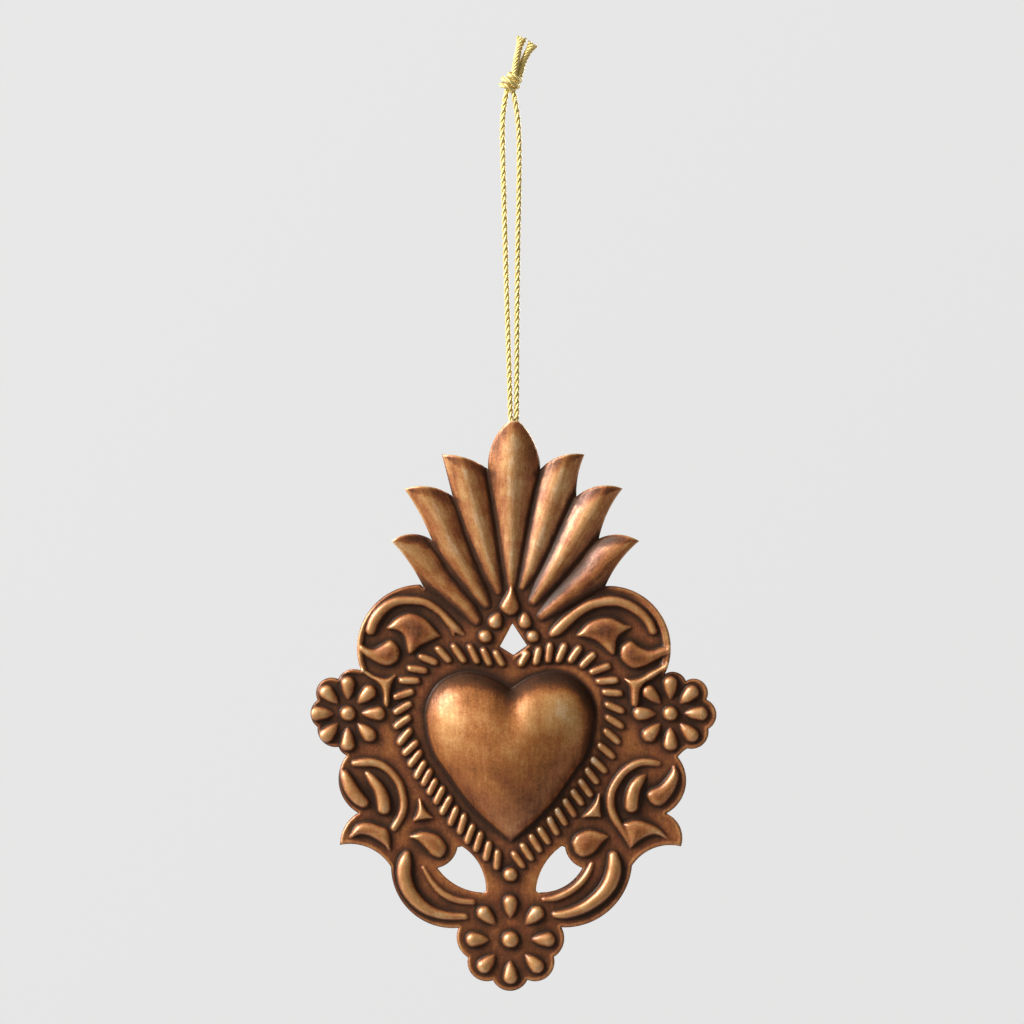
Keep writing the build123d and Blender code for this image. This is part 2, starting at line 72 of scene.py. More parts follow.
# Section of the heart: shares and powers of the blown skin
SKIN_SHAPE = ((0.55, 0.5), (0.45, 0.95))
PETAL_CROWN = 0.27
TOP_PETAL_CROWN = 0.31
SCROLL_CROWN = 0.48
STROKE_RISE = 0.80
STROKE_WIDTH = 1.6
FOOT = 0.05
LEAST_WIDTH = 0.05
FLOWER_CROWN = 0.40
BEAD_RISE = 0.9
BEAD_STUB = 0.02
SHIELD_RISE = 0.85
SHIELD_ROUND = 0.95
SHIELD_SHARE = 0.6
SHIELD_CROWN = 0.22
TRENCH = 0.10
TRENCH_REACH = 0.7
FRONT_BLUR = 0.12
HOLLOW_BLUR = 0.3

# Cut edge: a fine lip below the plume, broad rims left and right beside the scrolls, and a rounded edge
LIP = (0.15, 0.42, 0.28)
LIP_SPAN = (34.0, -3.0)
BROAD_RIM_RISE = 0.45
BROAD_RIMS = (1.1, 1.45)
BROAD_RIM_STEP = 0.15
RIM_LOW_SPAN = (15.0, 1.2)
RIM_HIGH_SPAN = (31.0, -4.0)
BROAD_RIM_SIDE = 16.0
EDGE_DROP = 0.28
EDGE_ROUND = 0.5

# Patina and painted light: wear is 0 where it is dark and 1 where the metal is rubbed bright; it also
# carries painted highlights and painted shade on the heart, the petals and beside the heart
FLAT_WEAR = 0.56
BACK_WEAR = 0.46
BACK_CREASE = 0.45
BACK_CREASE_BLUR = 1.0
STAPLE_WEAR = 0.55
PATINA_BLUR = 0.2
LOW_RELIEF = 1.1
# Creases, fine and broad: how dark they are and how wide
CREASES = ((1.15, 0.45), (1.2, 1.35))
CREST_SHARE = 0.25
STEEP_DULL = 0.35
STEEP_BLUR = 0.25
CUT_EDGE = (0.26, 0.0, 0.3)
PLUME_FLOOR = 0.15
PLUME_SPAN = (28.0, 8.0)
PLUME_EDGE = (0.26, 0.9, 1.3)
PLUME_EDGE_SPAN = (36.0, 3.0)
# Petals: their section, polish at their edges, on their crests (rubbed wear and a painted highlight) and
# towards their bases, and brush marks;
# painted shade on some petals
PETAL_FORM = {"sharp": 1.5, "full": 0.85, "foot": 0.45, "crest": 0.5, "polish_and_painted_light": (-0.28, 0.22, 0.15),
              "brushed": 0.75}
PETAL_PAINTED_SHADE = (0, 0, 0, 0, 0.04, 0.12)
PETAL_TIP_SHARE = 0.45
PETAL_TIP_SPAN = (36.0, 16.0)
PETAL_BASE_SPAN = (40.0, -8.0)
# Shields: at their edges, and the change further in
SHIELD_POLISH = (0.06, -0.24)
SHIELD_DULL_DEPTH = 1.6
# Heart: all over; duller all along its edge (patina and painted shade), more so at the top, more on the
# right (painted shade), and in the cleft
HEART_POLISH = 0.03
HEART_EDGE_DULL_AND_SHADE = (0.20, 0.30, 0.30)
HEART_EDGE_WIDTHS = (1.5, 0.9)
HEART_TOP_SPAN = (7.0, 6.0)
HEART_RIGHT_SPAN = (0.0, 13.0)
HEART_UPPER_SPAN = (-4.0, 5.0)
CLEFT_DULL = 0.22
CLEFT_WIDTH = 1.3
CLEFT_SPAN = (6.0, 4.0)
# Painted highlights and painted shade on the heart: amount, middle u and v, spread in u and v
HEART_PAINTED_LIGHT = [
    (-0.09, 1.0, -7.0, 6.0, 5.0), (0.13, -12.5, 6.5, 3.0, 6.0), (-0.02, -7.0, 4.0, 3.5, 5.0),
    (0.22, 12.0, 8.0, 3.2, 5.0), (0.13, 6.0, 8.0, 4.0, 4.0),
]
# Painted light on the flat outside the heart's right edge, where the heart casts its shade
MOAT_PAINTED_LIGHT = (0.30, 1.4, 1.0)
MOAT_PAINTED_LIGHT_SPAN = (0.0, 8.0)
# Gilt, on the heart and the bare back: less of the ruddy tone and less of the clear coat
BACK_GILT = 0.8
TIP_GILT = 0.2
GILT_EDGE_SPAN = (0.0, 1.5)
GILT_SPAN = (-9.0, 12.0)
GILT_GOLDEN = 0.75
GILT_COAT = 0.24
# Brush marks: strength on the sheet, on most forms and on the heart
SHEET_BRUSHED = 0.3
FORM_BRUSHED = 0.2
HEART_BRUSHED = 0.36
LANE_SHIFT = 3.7
LANE_SCALE = 1.35
RUN_SCALE = 0.17
# Noise patterns: scale, detail and roughness, and their shares of the wear
MOTTLE = (230.0, 9.0, 0.68)
GRAIN = (2300.0, 4.0, 0.62)
BLUSH = (420.0, 6.0, 0.6)
STREAK = (1.0, 7.0, 0.70)
MOTTLE_SHARE = 0.56
GRAIN_SHARE = 0.32
STREAK_SHARE = 0.85

# Colour of the patina by wear, in its golden and its ruddy patches
GOLDEN = [(0.0, (0.033, 0.015, 0.009)), (0.2, (0.066, 0.027, 0.013)), (0.38, (0.146, 0.049, 0.019)),
          (0.56, (0.352, 0.122, 0.029)), (0.75, (0.565, 0.282, 0.089)), (1.0, (0.820, 0.615, 0.390))]
RUDDY = [(0.0, (0.033, 0.014, 0.009)), (0.2, (0.068, 0.025, 0.013)), (0.38, (0.152, 0.045, 0.019)),
         (0.56, (0.334, 0.097, 0.026)), (0.75, (0.510, 0.222, 0.070)), (1.0, (0.750, 0.515, 0.300))]
# Gloss by wear, which also carries painted light: socket, its value where dark and where bright, and the
# wear of both
GLOSS = [("Roughness", 0.56, 0.40, 0.15, 0.75), ("Metallic", 0.15, 0.38, 0.15, 0.75),
         ("Coat Weight", 0.12, 0.92, 0.30, 0.80)]
# Flecks of the gold thread and clouds of the solder
GOLD = [(0.25, (0.48, 0.31, 0.06)), (0.48, (0.74, 0.56, 0.17)), (0.7, (0.94, 0.82, 0.42))]
GREY = [(0.3, (0.16, 0.15, 0.14)), (0.7, (0.42, 0.41, 0.39))]

# Light: name, place, size, power and colour of each lamp, and the point they are aimed at
LAMPS = [
    ("key", (-0.65, -0.32, 0.28), 0.5, 13.4, (1, 1, 1)),
    ("left_edge", (-0.6, 0.05, -0.05), 0.3, 1.0, (0.95, 0.96, 1.0)),
    ("right_fill", (0.6, -0.25, -0.42), 0.6, 0.5, (1.0, 0.86, 0.7)),
    ("back_fill", (0.42, 0.62, 0.2), 0.5, 5.0, (1, 1, 1)),
]
LAMP_TARGET = (0, 0, -0.12)
# Surroundings from the lower right to the upper left: as the camera sees them, and as the metal does
BRIGHT_SIDE = (-0.78, -0.10, 0.60)
BACKDROP = [(0.30, (0.765, 0.765, 0.762)), (0.58, (0.815, 0.815, 0.813))]
ROOM = [(0.08, (0.05, 0.049, 0.048)), (0.3, (0.09, 0.089, 0.088)), (0.55, (0.17, 0.17, 0.168)),
        (0.75, (0.70, 0.70, 0.695)), (0.92, (1.0, 1.0, 1.0))]
SOFT_LIGHT = (0.27, 0.27, 0.27, 1)
FLOOR_COLOUR = (0.6, 0.6, 0.596, 1)
FLOOR_RADIUS = 0.33
FLOOR_Z = -0.5

# Outline, anticlockwise from the top petal's tip: an end point, or a point passed and an end
OUTLINE_START = (-0.3, 65.9)
OUTLINE = [
    ((-2.9, 62.9), (-4.6, 56.2)),
    ((-9.6, 58.6), (-13.8, 59.1)),
    (-11.7, 50.8),
    ((-16.4, 52.7), (-21.3, 52.2)),
    ((-18.2, 47.2), (-15.8, 42.0)),
    ((-20.2, 43.2), (-23.9, 41.8)),
    ((-20.2, 37.3), (-17.5, 32.5)),
    (-18.1, 33.1),
    ((-27.0, 29.4), (-30.0, 15.9)),
    ((-32.2, 16.1), (-34.6, 14.2)),
    ((-37.7, 13.9), (-38.7, 10.0)),
    ((-40.1, 7.3), (-38.7, 4.6)),
    ((-37.8, 1.8), (-34.5, 0.6)),
    ((-33.9, -0.4), (-32.9, -1.1)),
    ((-34.5, -6.3), (-30.6, -12.6)),
    ((-33.0, -14.9), (-34.2, -19.0)),
    ((-28.4, -19.6), (-24.0, -23.4)),
    ((-20.4, -32.0), (-10.5, -35.6)),
    ((-10.7, -38.7), (-8.6, -41.5)),
    ((-7.6, -45.1), (-3.6, -46.1)),
    ((-0.1, -48.2), (3.3, -46.0)),
    ((7.7, -45.0), (8.6, -41.4)),
    ((10.6, -38.4), (10.1, -35.5)),
    ((20.0, -31.8), (24.2, -23.2)),
    ((28.2, -19.8), (34.0, -19.3)),
    ((33.9, -15.6), (31.1, -12.7)),
    ((34.8, -8.0), (33.4, -1.4)),
    ((34.3, -0.4), (35.3, 0.3)),
    ((38.4, 1.1), (39.5, 4.2)),
    ((41.1, 7.2), (39.1, 10.1)),
    ((38.6, 13.4), (35.0, 13.8)),
    ((33.5, 15.4), (30.8, 15.2)),
    ((28.1, 29.4), (18.9, 32.8)),
    ((21.7, 37.7), (25.6, 41.8)),
    ((20.9, 43.1), (17.6, 42.3)),
    ((19.4, 47.7), (22.3, 52.3)),
    ((18.4, 52.9), (13.1, 50.7)),
    ((13.4, 54.9), (14.7, 59.1)),
    ((10.3, 58.9), (5.9, 56.2)),
    ((4.2, 62.3), (1.6, 65.7)),
]

# Pierced windows: the kite over the heart and the two fans beside its tip
WINDOWS = [
    ((0.3, 25.3), [(-2.2, 20.7), (0.5, 19.0), (3.2, 20.9)]),
    ((-9.8, -19.3), [((-6.4, -22.8), (-5.0, -27.8)), ((-5.2, -28.4), (-6.0, -28.5)),
                     ((-11.0, -27.0), (-14.7, -23.6)), ((-12.0, -22.1), (-10.7, -19.5))]),
    ((10.2, -19.2), [((6.7, -22.9), (5.0, -27.8)), ((5.2, -28.4), (6.0, -28.5)),
                     ((11.0, -27.1), (14.3, -23.6)), ((12.1, -22.2), (10.8, -19.5))]),
]

# Plume petals from base to tip: middle u, v and width; each runs out past the cut edge
TOP_PETAL = [(0.1, 32.6, 1.6), (0.1, 37.8, 3.9), (0.2, 45.0, 6.2), (0.3, 51.6, 8.6),
             (0.5, 57.6, 11.0), (0.6, 68.0, 11.8)]
PETALS = [
    [(-2.5, 31.8, 1.6), (-3.9, 36.0, 4.0), (-5.9, 43.0, 6.2), (-7.7, 49.9, 7.6), (-8.8, 54.2, 8.4),
     (-11.0, 63.0, 9.4)],
    [(-5.0, 29.2, 2.0), (-6.9, 32.2, 4.0), (-10.0, 37.5, 6.0), (-12.5, 42.5, 7.4), (-14.2, 46.4, 8.3),
     (-18.6, 55.0, 9.8)],
    [(-6.9, 26.0, 2.2), (-9.0, 28.7, 3.6), (-12.1, 32.0, 4.8), (-15.4, 35.2, 6.0), (-17.6, 37.8, 7.2),
     (-24.6, 43.8, 8.8)],
    [(2.3, 32.6, 1.5), (4.2, 37.2, 3.9), (6.4, 44.2, 5.8), (8.1, 49.6, 7.2), (9.4, 53.6, 8.0),
     (12.0, 62.0, 9.4)],
    [(4.5, 29.8, 1.9), (7.6, 34.3, 4.2), (10.9, 39.4, 5.8), (13.8, 44.0, 7.4), (15.6, 47.0, 8.2),
     (20.4, 55.0, 9.8)],
    [(6.2, 26.8, 2.0), (10.0, 29.8, 4.0), (14.0, 33.1, 5.4), (17.2, 35.8, 6.8), (19.2, 38.2, 7.6),
     (25.8, 44.0, 9.0)],
]

# Scroll bands and crescents: middle u, v and width, where width 0 is a pointed end
SCROLLS = [
    # left side, from the top
    [(-28.1, 24.0, 2.1), (-27.3, 26.0, 2.3), (-26.0, 27.8, 2.2), (-24.2, 29.2, 2.0), (-21.8, 29.9, 1.8),
     (-18.0, 29.7, 1.7), (-15.8, 28.8, 1.6), (-13.8, 27.3, 1.5), (-12.2, 25.5, 1.7), (-10.8, 24.2, 1.6),
     (-9.5, 23.1, 0.6)],
    [(-12.4, 25.7, 1.2), (-11.8, 24.4, 1.1), (-11.4, 23.0, 0.5)],
    [(-31.2, -2.7, 1.3), (-29.6, -2.5, 1.8), (-27.6, -2.5, 1.7), (-25.6, -3.2, 1.6), (-23.8, -4.6, 1.6),
     (-22.3, -6.8, 1.6), (-21.6, -9.2, 1.6), (-21.5, -11.4, 1.6), (-22.1, -13.4, 1.5), (-23.4, -15.6, 1.3)],
    [(-33.4, -3.9, 0), (-33.1, -5.0, 1.8), (-32.5, -6.6, 2.6), (-31.7, -8.1, 2.9), (-30.6, -9.5, 2.8),
     (-29.6, -10.4, 2.4)],
    [(-28.6, -4.8, 1.1), (-27.5, -6.2, 2.0), (-26.3, -7.9, 2.5), (-25.6, -9.8, 2.8), (-25.4, -11.6, 2.7)],
    [(-20.8, -20.9, 1.6), (-21.2, -22.4, 2.7), (-21.4, -24.4, 3.0), (-21.1, -26.4, 3.0), (-20.2, -28.4, 2.9),
     (-18.8, -30.2, 2.7), (-16.8, -31.8, 2.4), (-14.4, -32.8, 1.9), (-12.0, -33.2, 1.6), (-9.2, -33.3, 1.3)],
    [(-17.5, -23.5, 0.6), (-16.7, -24.9, 0.9), (-15.6, -26.6, 1.1), (-14.2, -28.2, 1.3), (-12.2, -29.5, 1.4),
     (-10.0, -30.2, 1.3), (-7.6, -30.4, 1.1)],
    # right side, from the top
    [(8.3, 23.2, 1.3), (9.4, 24.1, 2.2), (11.2, 25.8, 2.3), (13.4, 27.6, 2.1), (15.8, 29.0, 2.1),
     (18.0, 29.6, 2.1), (20.0, 29.8, 2.2), (22.0, 29.5, 2.1), (24.2, 28.6, 2.0), (26.2, 27.2, 1.9),
     (27.6, 25.6, 1.9), (28.4, 23.9, 1.8)],
    [(29.6, -2.7, 1.0), (28.0, -2.5, 1.4), (26.0, -2.5, 1.5), (24.2, -3.2, 1.6), (22.6, -4.4, 1.6),
     (21.2, -6.2, 1.7), (20.2, -8.2, 1.7), (19.9, -10.2, 1.8), (20.2, -12.2, 1.8), (21.0, -14.0, 1.7),
     (22.2, -15.8, 1.5), (23.2, -17.6, 1.2), (23.9, -19.4, 0.5)],
    [(26.9, -5.0, 0.5), (25.7, -6.1, 2.0), (24.7, -7.7, 2.7), (24.2, -9.6, 2.9), (24.1, -11.2, 2.8)],
    [(20.5, -21.2, 2.0), (20.7, -22.8, 2.8), (20.5, -24.8, 3.1), (19.7, -26.8, 3.1), (18.4, -28.6, 2.9),
     (16.6, -30.2, 2.6), (14.4, -31.6, 2.3), (12.0, -32.5, 2.0), (10.0, -32.9, 1.7), (8.8, -32.9, 1.2)],
    [(16.2, -22.7, 0.7), (15.6, -24.2, 1.1), (14.6, -25.8, 1.3), (13.0, -27.4, 1.4), (11.0, -28.7, 1.4),
     (8.8, -29.6, 1.3), (6.6, -29.9, 0.8)],
    # burr beside the kite
    [(0.5, 18.2, 0.3), (2.2, 19.5, 0.5), (3.9, 20.9, 0.3)],
]

# Broad leaves, commas, straps and drops, as pairs of edge points from one end to the other;
# a single point is a pointed end
SHIELDS = [
    # left side: fan, comma, leaf, triangle and drop
    [(-24.9, 24.3), ((-23.2, 26.2), (-22.8, 23.8)), ((-21.4, 27.2), (-21.4, 22.6)),
     ((-19.6, 27.4), (-20.4, 19.2)), ((-17.4, 26.5), (-18.2, 20.7)), ((-15.6, 24.8), (-16.0, 21.8)),
     (-14.0, 22.8)],
    [((-30.4, 21.5), (-30.4, 19.8)), ((-27.8, 20.3), (-28.4, 18.3)), ((-25.6, 21.3), (-26.2, 17.1)),
     ((-24.0, 22.0), (-24.4, 16.8)), ((-22.5, 20.8), (-22.7, 17.8)), (-22.1, 19.4)],
    [(-32.4, -17.7), ((-31.0, -15.1), (-30.4, -17.0)), ((-28.8, -14.4), (-28.4, -17.2)),
     ((-26.4, -15.0), (-26.6, -18.2)), ((-24.4, -16.3), (-25.2, -19.2)), (-24.1, -20.4)],
    [(-18.3, -9.4), ((-18.6, -11.6), (-17.2, -11.6)), ((-19.0, -13.0), (-16.0, -13.0)),
     ((-19.7, -14.3), (-15.4, -13.6))],
    [(-20.4, -17.4), ((-18.4, -16.4), (-18.8, -18.1)), ((-16.6, -16.3), (-17.2, -19.6)),
     ((-14.4, -17.1), (-15.8, -21.1)), ((-12.9, -19.0), (-14.2, -21.6)), (-13.1, -20.6)],
    # left strap: upper edge from the rim to its point, and lower edge round its stem
    [((-30.1, 16.9), (-30.1, 15.8)), ((-29.2, 16.2), (-28.6, 14.7)), ((-28.2, 15.5), (-27.0, 13.7)),
     ((-27.2, 14.9), (-26.0, 12.6)), ((-26.2, 14.6), (-25.6, 11.2)), ((-25.2, 14.4), (-25.5, 9.4)),
     ((-24.4, 14.5), (-24.9, 8.5)), ((-23.8, 14.7), (-24.3, 9.4)), ((-23.2, 15.0), (-24.1, 11.6)),
     ((-22.9, 15.2), (-23.6, 13.8)), (-22.7, 15.4)],
    # drop over the kite
    [(0.2, 33.4), ((-0.9, 31.2), (0.9, 31.2)), ((-2.2, 28.7), (1.7, 28.7)), ((-1.3, 27.3), (1.0, 27.3)),
     (-0.2, 26.8)],
    # right side: fan, comma, leaf, hook, triangle and drop
    [(13.0, 22.8), ((15.2, 25.3), (15.4, 22.3)), ((17.6, 26.4), (17.4, 21.5)), ((20.0, 26.5), (20.5, 19.0)),
     ((21.8, 25.8), (21.3, 22.2)), ((23.0, 25.1), (22.5, 23.5)), (24.3, 24.7)],
    [(21.7, 19.4), ((22.2, 20.9), (22.2, 17.9)), ((24.0, 21.9), (24.2, 16.3)), ((26.0, 20.6), (26.4, 16.6)),
     ((28.0, 20.0), (28.8, 17.8)), ((30.2, 20.7), (30.4, 18.6)), ((32.4, 21.4), (32.4, 19.2))],
    [((22.4, -14.6), (24.0, -19.6)), ((25.0, -13.9), (25.8, -18.1)), ((27.8, -14.6), (28.2, -17.0)),
     ((30.0, -16.0), (30.0, -17.2)), (31.8, -18.1)],
    [(32.6, -2.9), ((31.7, -4.8), (33.6, -4.9)), ((29.9, -6.9), (32.8, -8.0)), ((27.9, -7.9), (30.6, -10.8)),
     ((27.1, -9.0), (28.9, -11.2)), (27.7, -10.4)],
    [(17.9, -8.2), ((16.7, -10.4), (17.9, -10.6)), ((15.4, -12.0), (18.0, -12.2)),
     ((14.1, -13.5), (18.1, -13.5))],
    [(19.7, -17.2), ((17.6, -16.3), (18.2, -18.7)), ((15.4, -15.9), (16.6, -20.6)),
     ((13.0, -16.9), (14.4, -21.5)), ((12.1, -18.6), (12.8, -20.6))],
    # right strap
    [(22.4, 14.7), ((23.0, 14.3), (23.1, 13.6)), ((24.0, 14.2), (23.8, 12.2)), ((25.0, 14.3), (23.9, 10.3)),
     ((26.0, 14.6), (24.2, 8.8)), ((26.8, 15.0), (25.3, 8.7)), ((27.4, 15.4), (25.7, 10.1)),
     ((28.0, 15.8), (25.9, 11.8)), ((28.8, 16.2), (26.8, 13.3)), ((29.5, 16.6), (28.4, 14.3)),
     ((30.3, 17.2), (30.3, 15.6)), ((32.2, 18.2), (32.2, 16.2))],
]

# Flowers: centre, radius of the middle bead, radii of the petals' points and ends, petal width
FLOWERS = [
    ((-32.6, 7.3), 1.55, 2.6, 7.5, 2.95),
    ((31.9, 7.3), 1.5, 2.6, 7.5, 2.95),
    ((-0.1, -37.9), 1.7, 4.1, 8.9, 3.0),
]
FLOWER_PETALS = 8

# Beads: middle and radius; drops: point, far end and width
BEADS = [((-5.1, 22.7), 1.35), ((4.4, 22.7), 1.25), ((-0.1, -24.9), 1.45)]
DROPS = [((-2.2, 27.6), (-3.6, 24.7), 2.8), ((2.7, 27.7), (2.9, 24.6), 2.6)]

# Share of the length and of the width along a teardrop, whose round end lies past the last share,
# and along a stroke
TEARDROP = [(0.05, 0.12), (0.40, 0.74), (0.70, 1.0)]
STROKE = [(0.11, 0.86), (0.28, 1.0), (0.5, 1.0), (0.72, 1.0), (0.89, 0.86)]

# Puffed heart: half outline from the cleft to the tip
HEART_HALF = [(0.0, 12.0), (4.0, 14.4), (9.0, 15.5), (13.4, 14.0), (16.0, 11.0), (17.0, 6.6), (15.7, 0.0),
              (13.0, -4.2), (7.5, -11.6), (0.0, -18.5)]
RIGHT_SHARE = 0.975

# Rope border: both ends of each stroke, from the kite down to the bottom bead
LEFT_ROPE = [
    ((-3.1, 19.6), (-1.6, 17.0)), ((-5.6, 20.2), (-4.2, 17.0)), ((-8.3, 20.9), (-6.6, 17.4)),
    ((-11.6, 21.0), (-9.2, 17.6)), ((-14.8, 20.5), (-12.2, 17.7)), ((-18.3, 18.8), (-14.8, 17.4)),
    ((-20.5, 16.4), (-16.8, 15.8)), ((-22.2, 13.9), (-18.3, 13.9)), ((-23.4, 10.5), (-19.5, 11.8)),
    ((-23.3, 7.4), (-20.0, 9.4)), ((-23.2, 4.5), (-20.2, 6.7)), ((-22.4, 1.2), (-20.0, 4.2)),
    ((-21.4, -0.9), (-18.7, 1.7)), ((-20.3, -3.2), (-18.0, -0.2)), ((-19.0, -5.6), (-17.2, -2.3)),
    ((-17.6, -7.0), (-16.0, -3.9)), ((-16.4, -8.8), (-15.0, -5.9)), ((-15.1, -10.7), (-13.5, -7.4)),
    ((-13.9, -12.8), (-12.0, -9.3)), ((-12.2, -15.0), (-10.8, -11.4)), ((-10.3, -16.7), (-9.2, -12.8)),
    ((-8.9, -18.6), (-7.5, -14.9)), ((-7.1, -20.2), (-5.9, -16.4)), ((-5.1, -22.0), (-4.3, -18.4)),
    ((-2.9, -23.8), (-2.6, -20.1)),
]
RIGHT_ROPE = [
    ((1.9, 17.0), (3.4, 19.5)), ((4.9, 17.2), (5.7, 20.4)), ((7.4, 17.6), (7.9, 21.3)),
    ((9.3, 17.6), (10.9, 21.2)), ((11.7, 17.6), (13.9, 20.7)), ((14.0, 16.6), (16.7, 19.3)),
    ((15.9, 15.5), (19.8, 16.9)), ((17.2, 13.7), (21.4, 14.0)), ((18.5, 11.6), (22.2, 11.3)),
    ((19.0, 9.2), (22.5, 7.7)), ((19.1, 6.7), (22.4, 4.6)), ((18.7, 4.0), (21.6, 1.5)),
    ((17.5, 1.2), (20.6, -1.5)), ((16.1, -1.6), (19.0, -4.4)), ((15.0, -3.7), (17.3, -6.6)),
    ((13.7, -5.9), (16.1, -9.2)), ((12.2, -8.0), (14.3, -10.9)), ((10.6, -9.8), (12.8, -13.2)),
    ((9.0, -11.7), (11.0, -14.9)), ((7.5, -13.5), (9.3, -16.8)), ((5.6, -15.6), (7.6, -18.6)),
    ((3.9, -17.0), (5.9, -20.2)), ((2.2, -18.9), (4.2, -21.9)), ((0.5, -20.6), (2.5, -23.4)),
]

# Cord, eye and knot: the legs above the turn in the eye, and the tails, as x, y, z in millimetres
CORD = 1.1
CORD_PLAY = 0.02
CORD_STEP = 0.14
EYE_WIRE = 0.8
EYE_SPAN = 4.4
EYE_BEND = 0.7
EYE_FOOT = -1.15
EYE_STEP = 0.08
EYE_Z = EYE_V - PLATE_DROP
SWING = EYE_WIRE / 2 + CORD / 2 + CORD_PLAY
HALF_LEG = 0.62
TURN_TOP = -62.0
TURN_LEAD = 1.5
LEFT_LEG = [(-1.0, 0, -34.0), (-1.55, 0, -14.0), (-1.8, 0, -4.4), (-1.05, 0, 1.1), (-0.6, 0, 2.4)]
RIGHT_LEG = [(1.25, 0, -34.0), (1.7, 0, -14.0), (1.55, 0, -4.4), (0.55, 0, 1.1), (0.4, 0, 2.4)]
LEFT_TAIL = [(0.5, -0.2, 4.4), (1.0, -0.45, 6.6), (1.25, -0.4, 9.0), (2.2, 0, 12.3)]
RIGHT_TAIL = [(1.5, 0.2, 4.2), (2.1, 0.45, 6.5), (2.8, 0.4, 8.7), (4.4, 0, 11.1)]
TAIL_SWELL = 1.3
FRAY_REACH = 1.8
FRAY_SPREAD = 0.9
KNOT_MIDDLE = (-0.1, 0.0, 3.4)
KNOT_RADIUS = 1.6
KNOT_TURNS = 2.5
KNOT_PITCH = 1.25
KNOT_TILT = 18.0
KNOT_TUCK = 0.35
KNOT_TUCK_SHARE = 0.125
KNOT_POINTS = 16
KNOT_STEP = 0.12
STRANDS = 3
TAIL_STRANDS = 6
STRAND_PITCH = 4.6
STRAND_SIDES = 10
WIRE_SIDES = 16
# Thickness of a cord over that of its strands, by their number
STRAND_FIT = {STRANDS: 2.05, TAIL_STRANDS: 3.0}

# Solder lumps
SOLDER_RADIUS = 1.05
SOLDER_RISE = 0.75
SOLDER_SINK = 0.15
SOLDER_ROWS = 7
SOLDER_SIDES = 20
SOLDER_ROUND = 0.7
SOLDER_TOP = 0.05
SOLDER_LOBES = 0.08
SOLDER_ROUGH = 0.03

# Photograph: millimetres per pixel and the pixel of the frame's origin
PIXEL = 0.2
ORIGIN_PIXEL = (511.0, 100.0)
IMAGE = 1024
LENS = 150.0
SENSOR = 36.0

# Height map of the pressed sheet, and the spacing of the mesh made from it
CELL = 0.1
MAP_LOW = (-42.0, -50.0)
MAP_HIGH = (43.0, 68.0)
MARGIN = 1.2
RIM_REACH = 1.6
FAR = 9.0
RING_STEP = 0.25
FRONT_SPACING = 0.26
BACK_SPACING = 0.46
CLEARANCE = 0.55
DETAIL_BLUR = 0.3
DETAIL_LIMIT = 0.012
U, V = np.meshgrid(np.arange(MAP_LOW[0], MAP_HIGH[0], CELL), np.arange(MAP_LOW[1], MAP_HIGH[1], CELL))


def fade(value, start, span):
    """Share from 0 at the start to 1 a span further on, or further back if the span is negative."""
    return np.clip((value - start) / span, 0, 1)


def bell(offset, spread):
    """Bell curve, 1 in its middle."""
    return np.exp(-(offset / spread) ** 2)


def band(distance, strength, place, width):
    """Soft band along an edge, by the distance from it."""
    return strength * bell(distance - place, width)


def smooth_line(points, per_span):
    """Points along a smooth curve through the given rows, ends included."""
    rows = np.array(points, float)
    rows = np.vstack([2 * rows[0] - rows[1], rows, 2 * rows[-1] - rows[-2]])
    t = np.linspace(0, 1, per_span, endpoint=False)[:, None]
    spans = []
    for a, b, c, d in zip(rows, rows[1:], rows[2:], rows[3:]):
        spans.append(0.5 * (2 * b + (c - a) * t + (2 * a - 5 * b + 4 * c - d) * t ** 2
                            + (3 * b - a - 3 * c + d) * t ** 3))
    return np.vstack(spans + [rows[-2:-1]])


def arc_points(start, through, end, step):
    """Points from start up to, but not at, the end of a circular arc."""
    a, b, c = Vector(start), Vector(through), Vector(end)
    orders = ((a, b, c), (b, c, a), (c, a, b))
    d = 2 * sum(p.x * (q.y - r.y) for p, q, r in orders)
    x = sum(p.length_squared * (q.y - r.y) for p, q, r in orders) / d
    y = sum(p.length_squared * (r.x - q.x) for p, q, r in orders) / d
    first, part, last = [math.atan2(p.y - y, p.x - x) for p in (a, b, c)]
    sweep = (last - first) % math.tau
    if (part - first) % math.tau > sweep:
        sweep -= math.tau
    radius = (a - Vector((x, y))).length
    count = max(2, round(abs(sweep) * radius / step))
    turns = [first + sweep * i / count for i in range(count)]
    return [(x + radius * math.cos(turn), y + radius * math.sin(turn)) for turn in turns]


def ring_points(start, steps, step):
    """Evenly spaced points round a closed outline of straight runs and arcs."""
    points = []
    here = start
    for item in steps + [start]:
        if isinstance(item[0], tuple):
            points += arc_points(here, item[0], item[1], step)
            here = item[1]
        elif item != here:
            count = max(1, round(math.dist(here, item) / step))
            points += [tuple(np.add(here, np.subtract(item, here) * i / count)) for i in range(count)]
            here = item
    return np.array(points)


def window(points, margin):
    """Rows and columns of the height map round some points."""
    low = (np.min(points, 0)[:2] - margin - MAP_LOW) / CELL
    high = (np.max(points, 0)[:2] + margin - MAP_LOW) / CELL
    return (slice(max(0, int(low[1])), max(1, int(high[1]) + 2)),
            slice(max(0, int(low[0])), max(1, int(high[0]) + 2)))


def blurred(field, radius):
    """Field smoothed by a bell curve whose spread is in millimetres."""
    down = np.fft.fftfreq(field.shape[0], CELL)[:, None]
    across = np.fft.rfftfreq(field.shape[1], CELL)[None, :]
    kept = np.exp(-2 * (math.pi * radius) ** 2 * (down ** 2 + across ** 2))
    return np.fft.irfft2(np.fft.rfft2(field) * kept, s=field.shape)


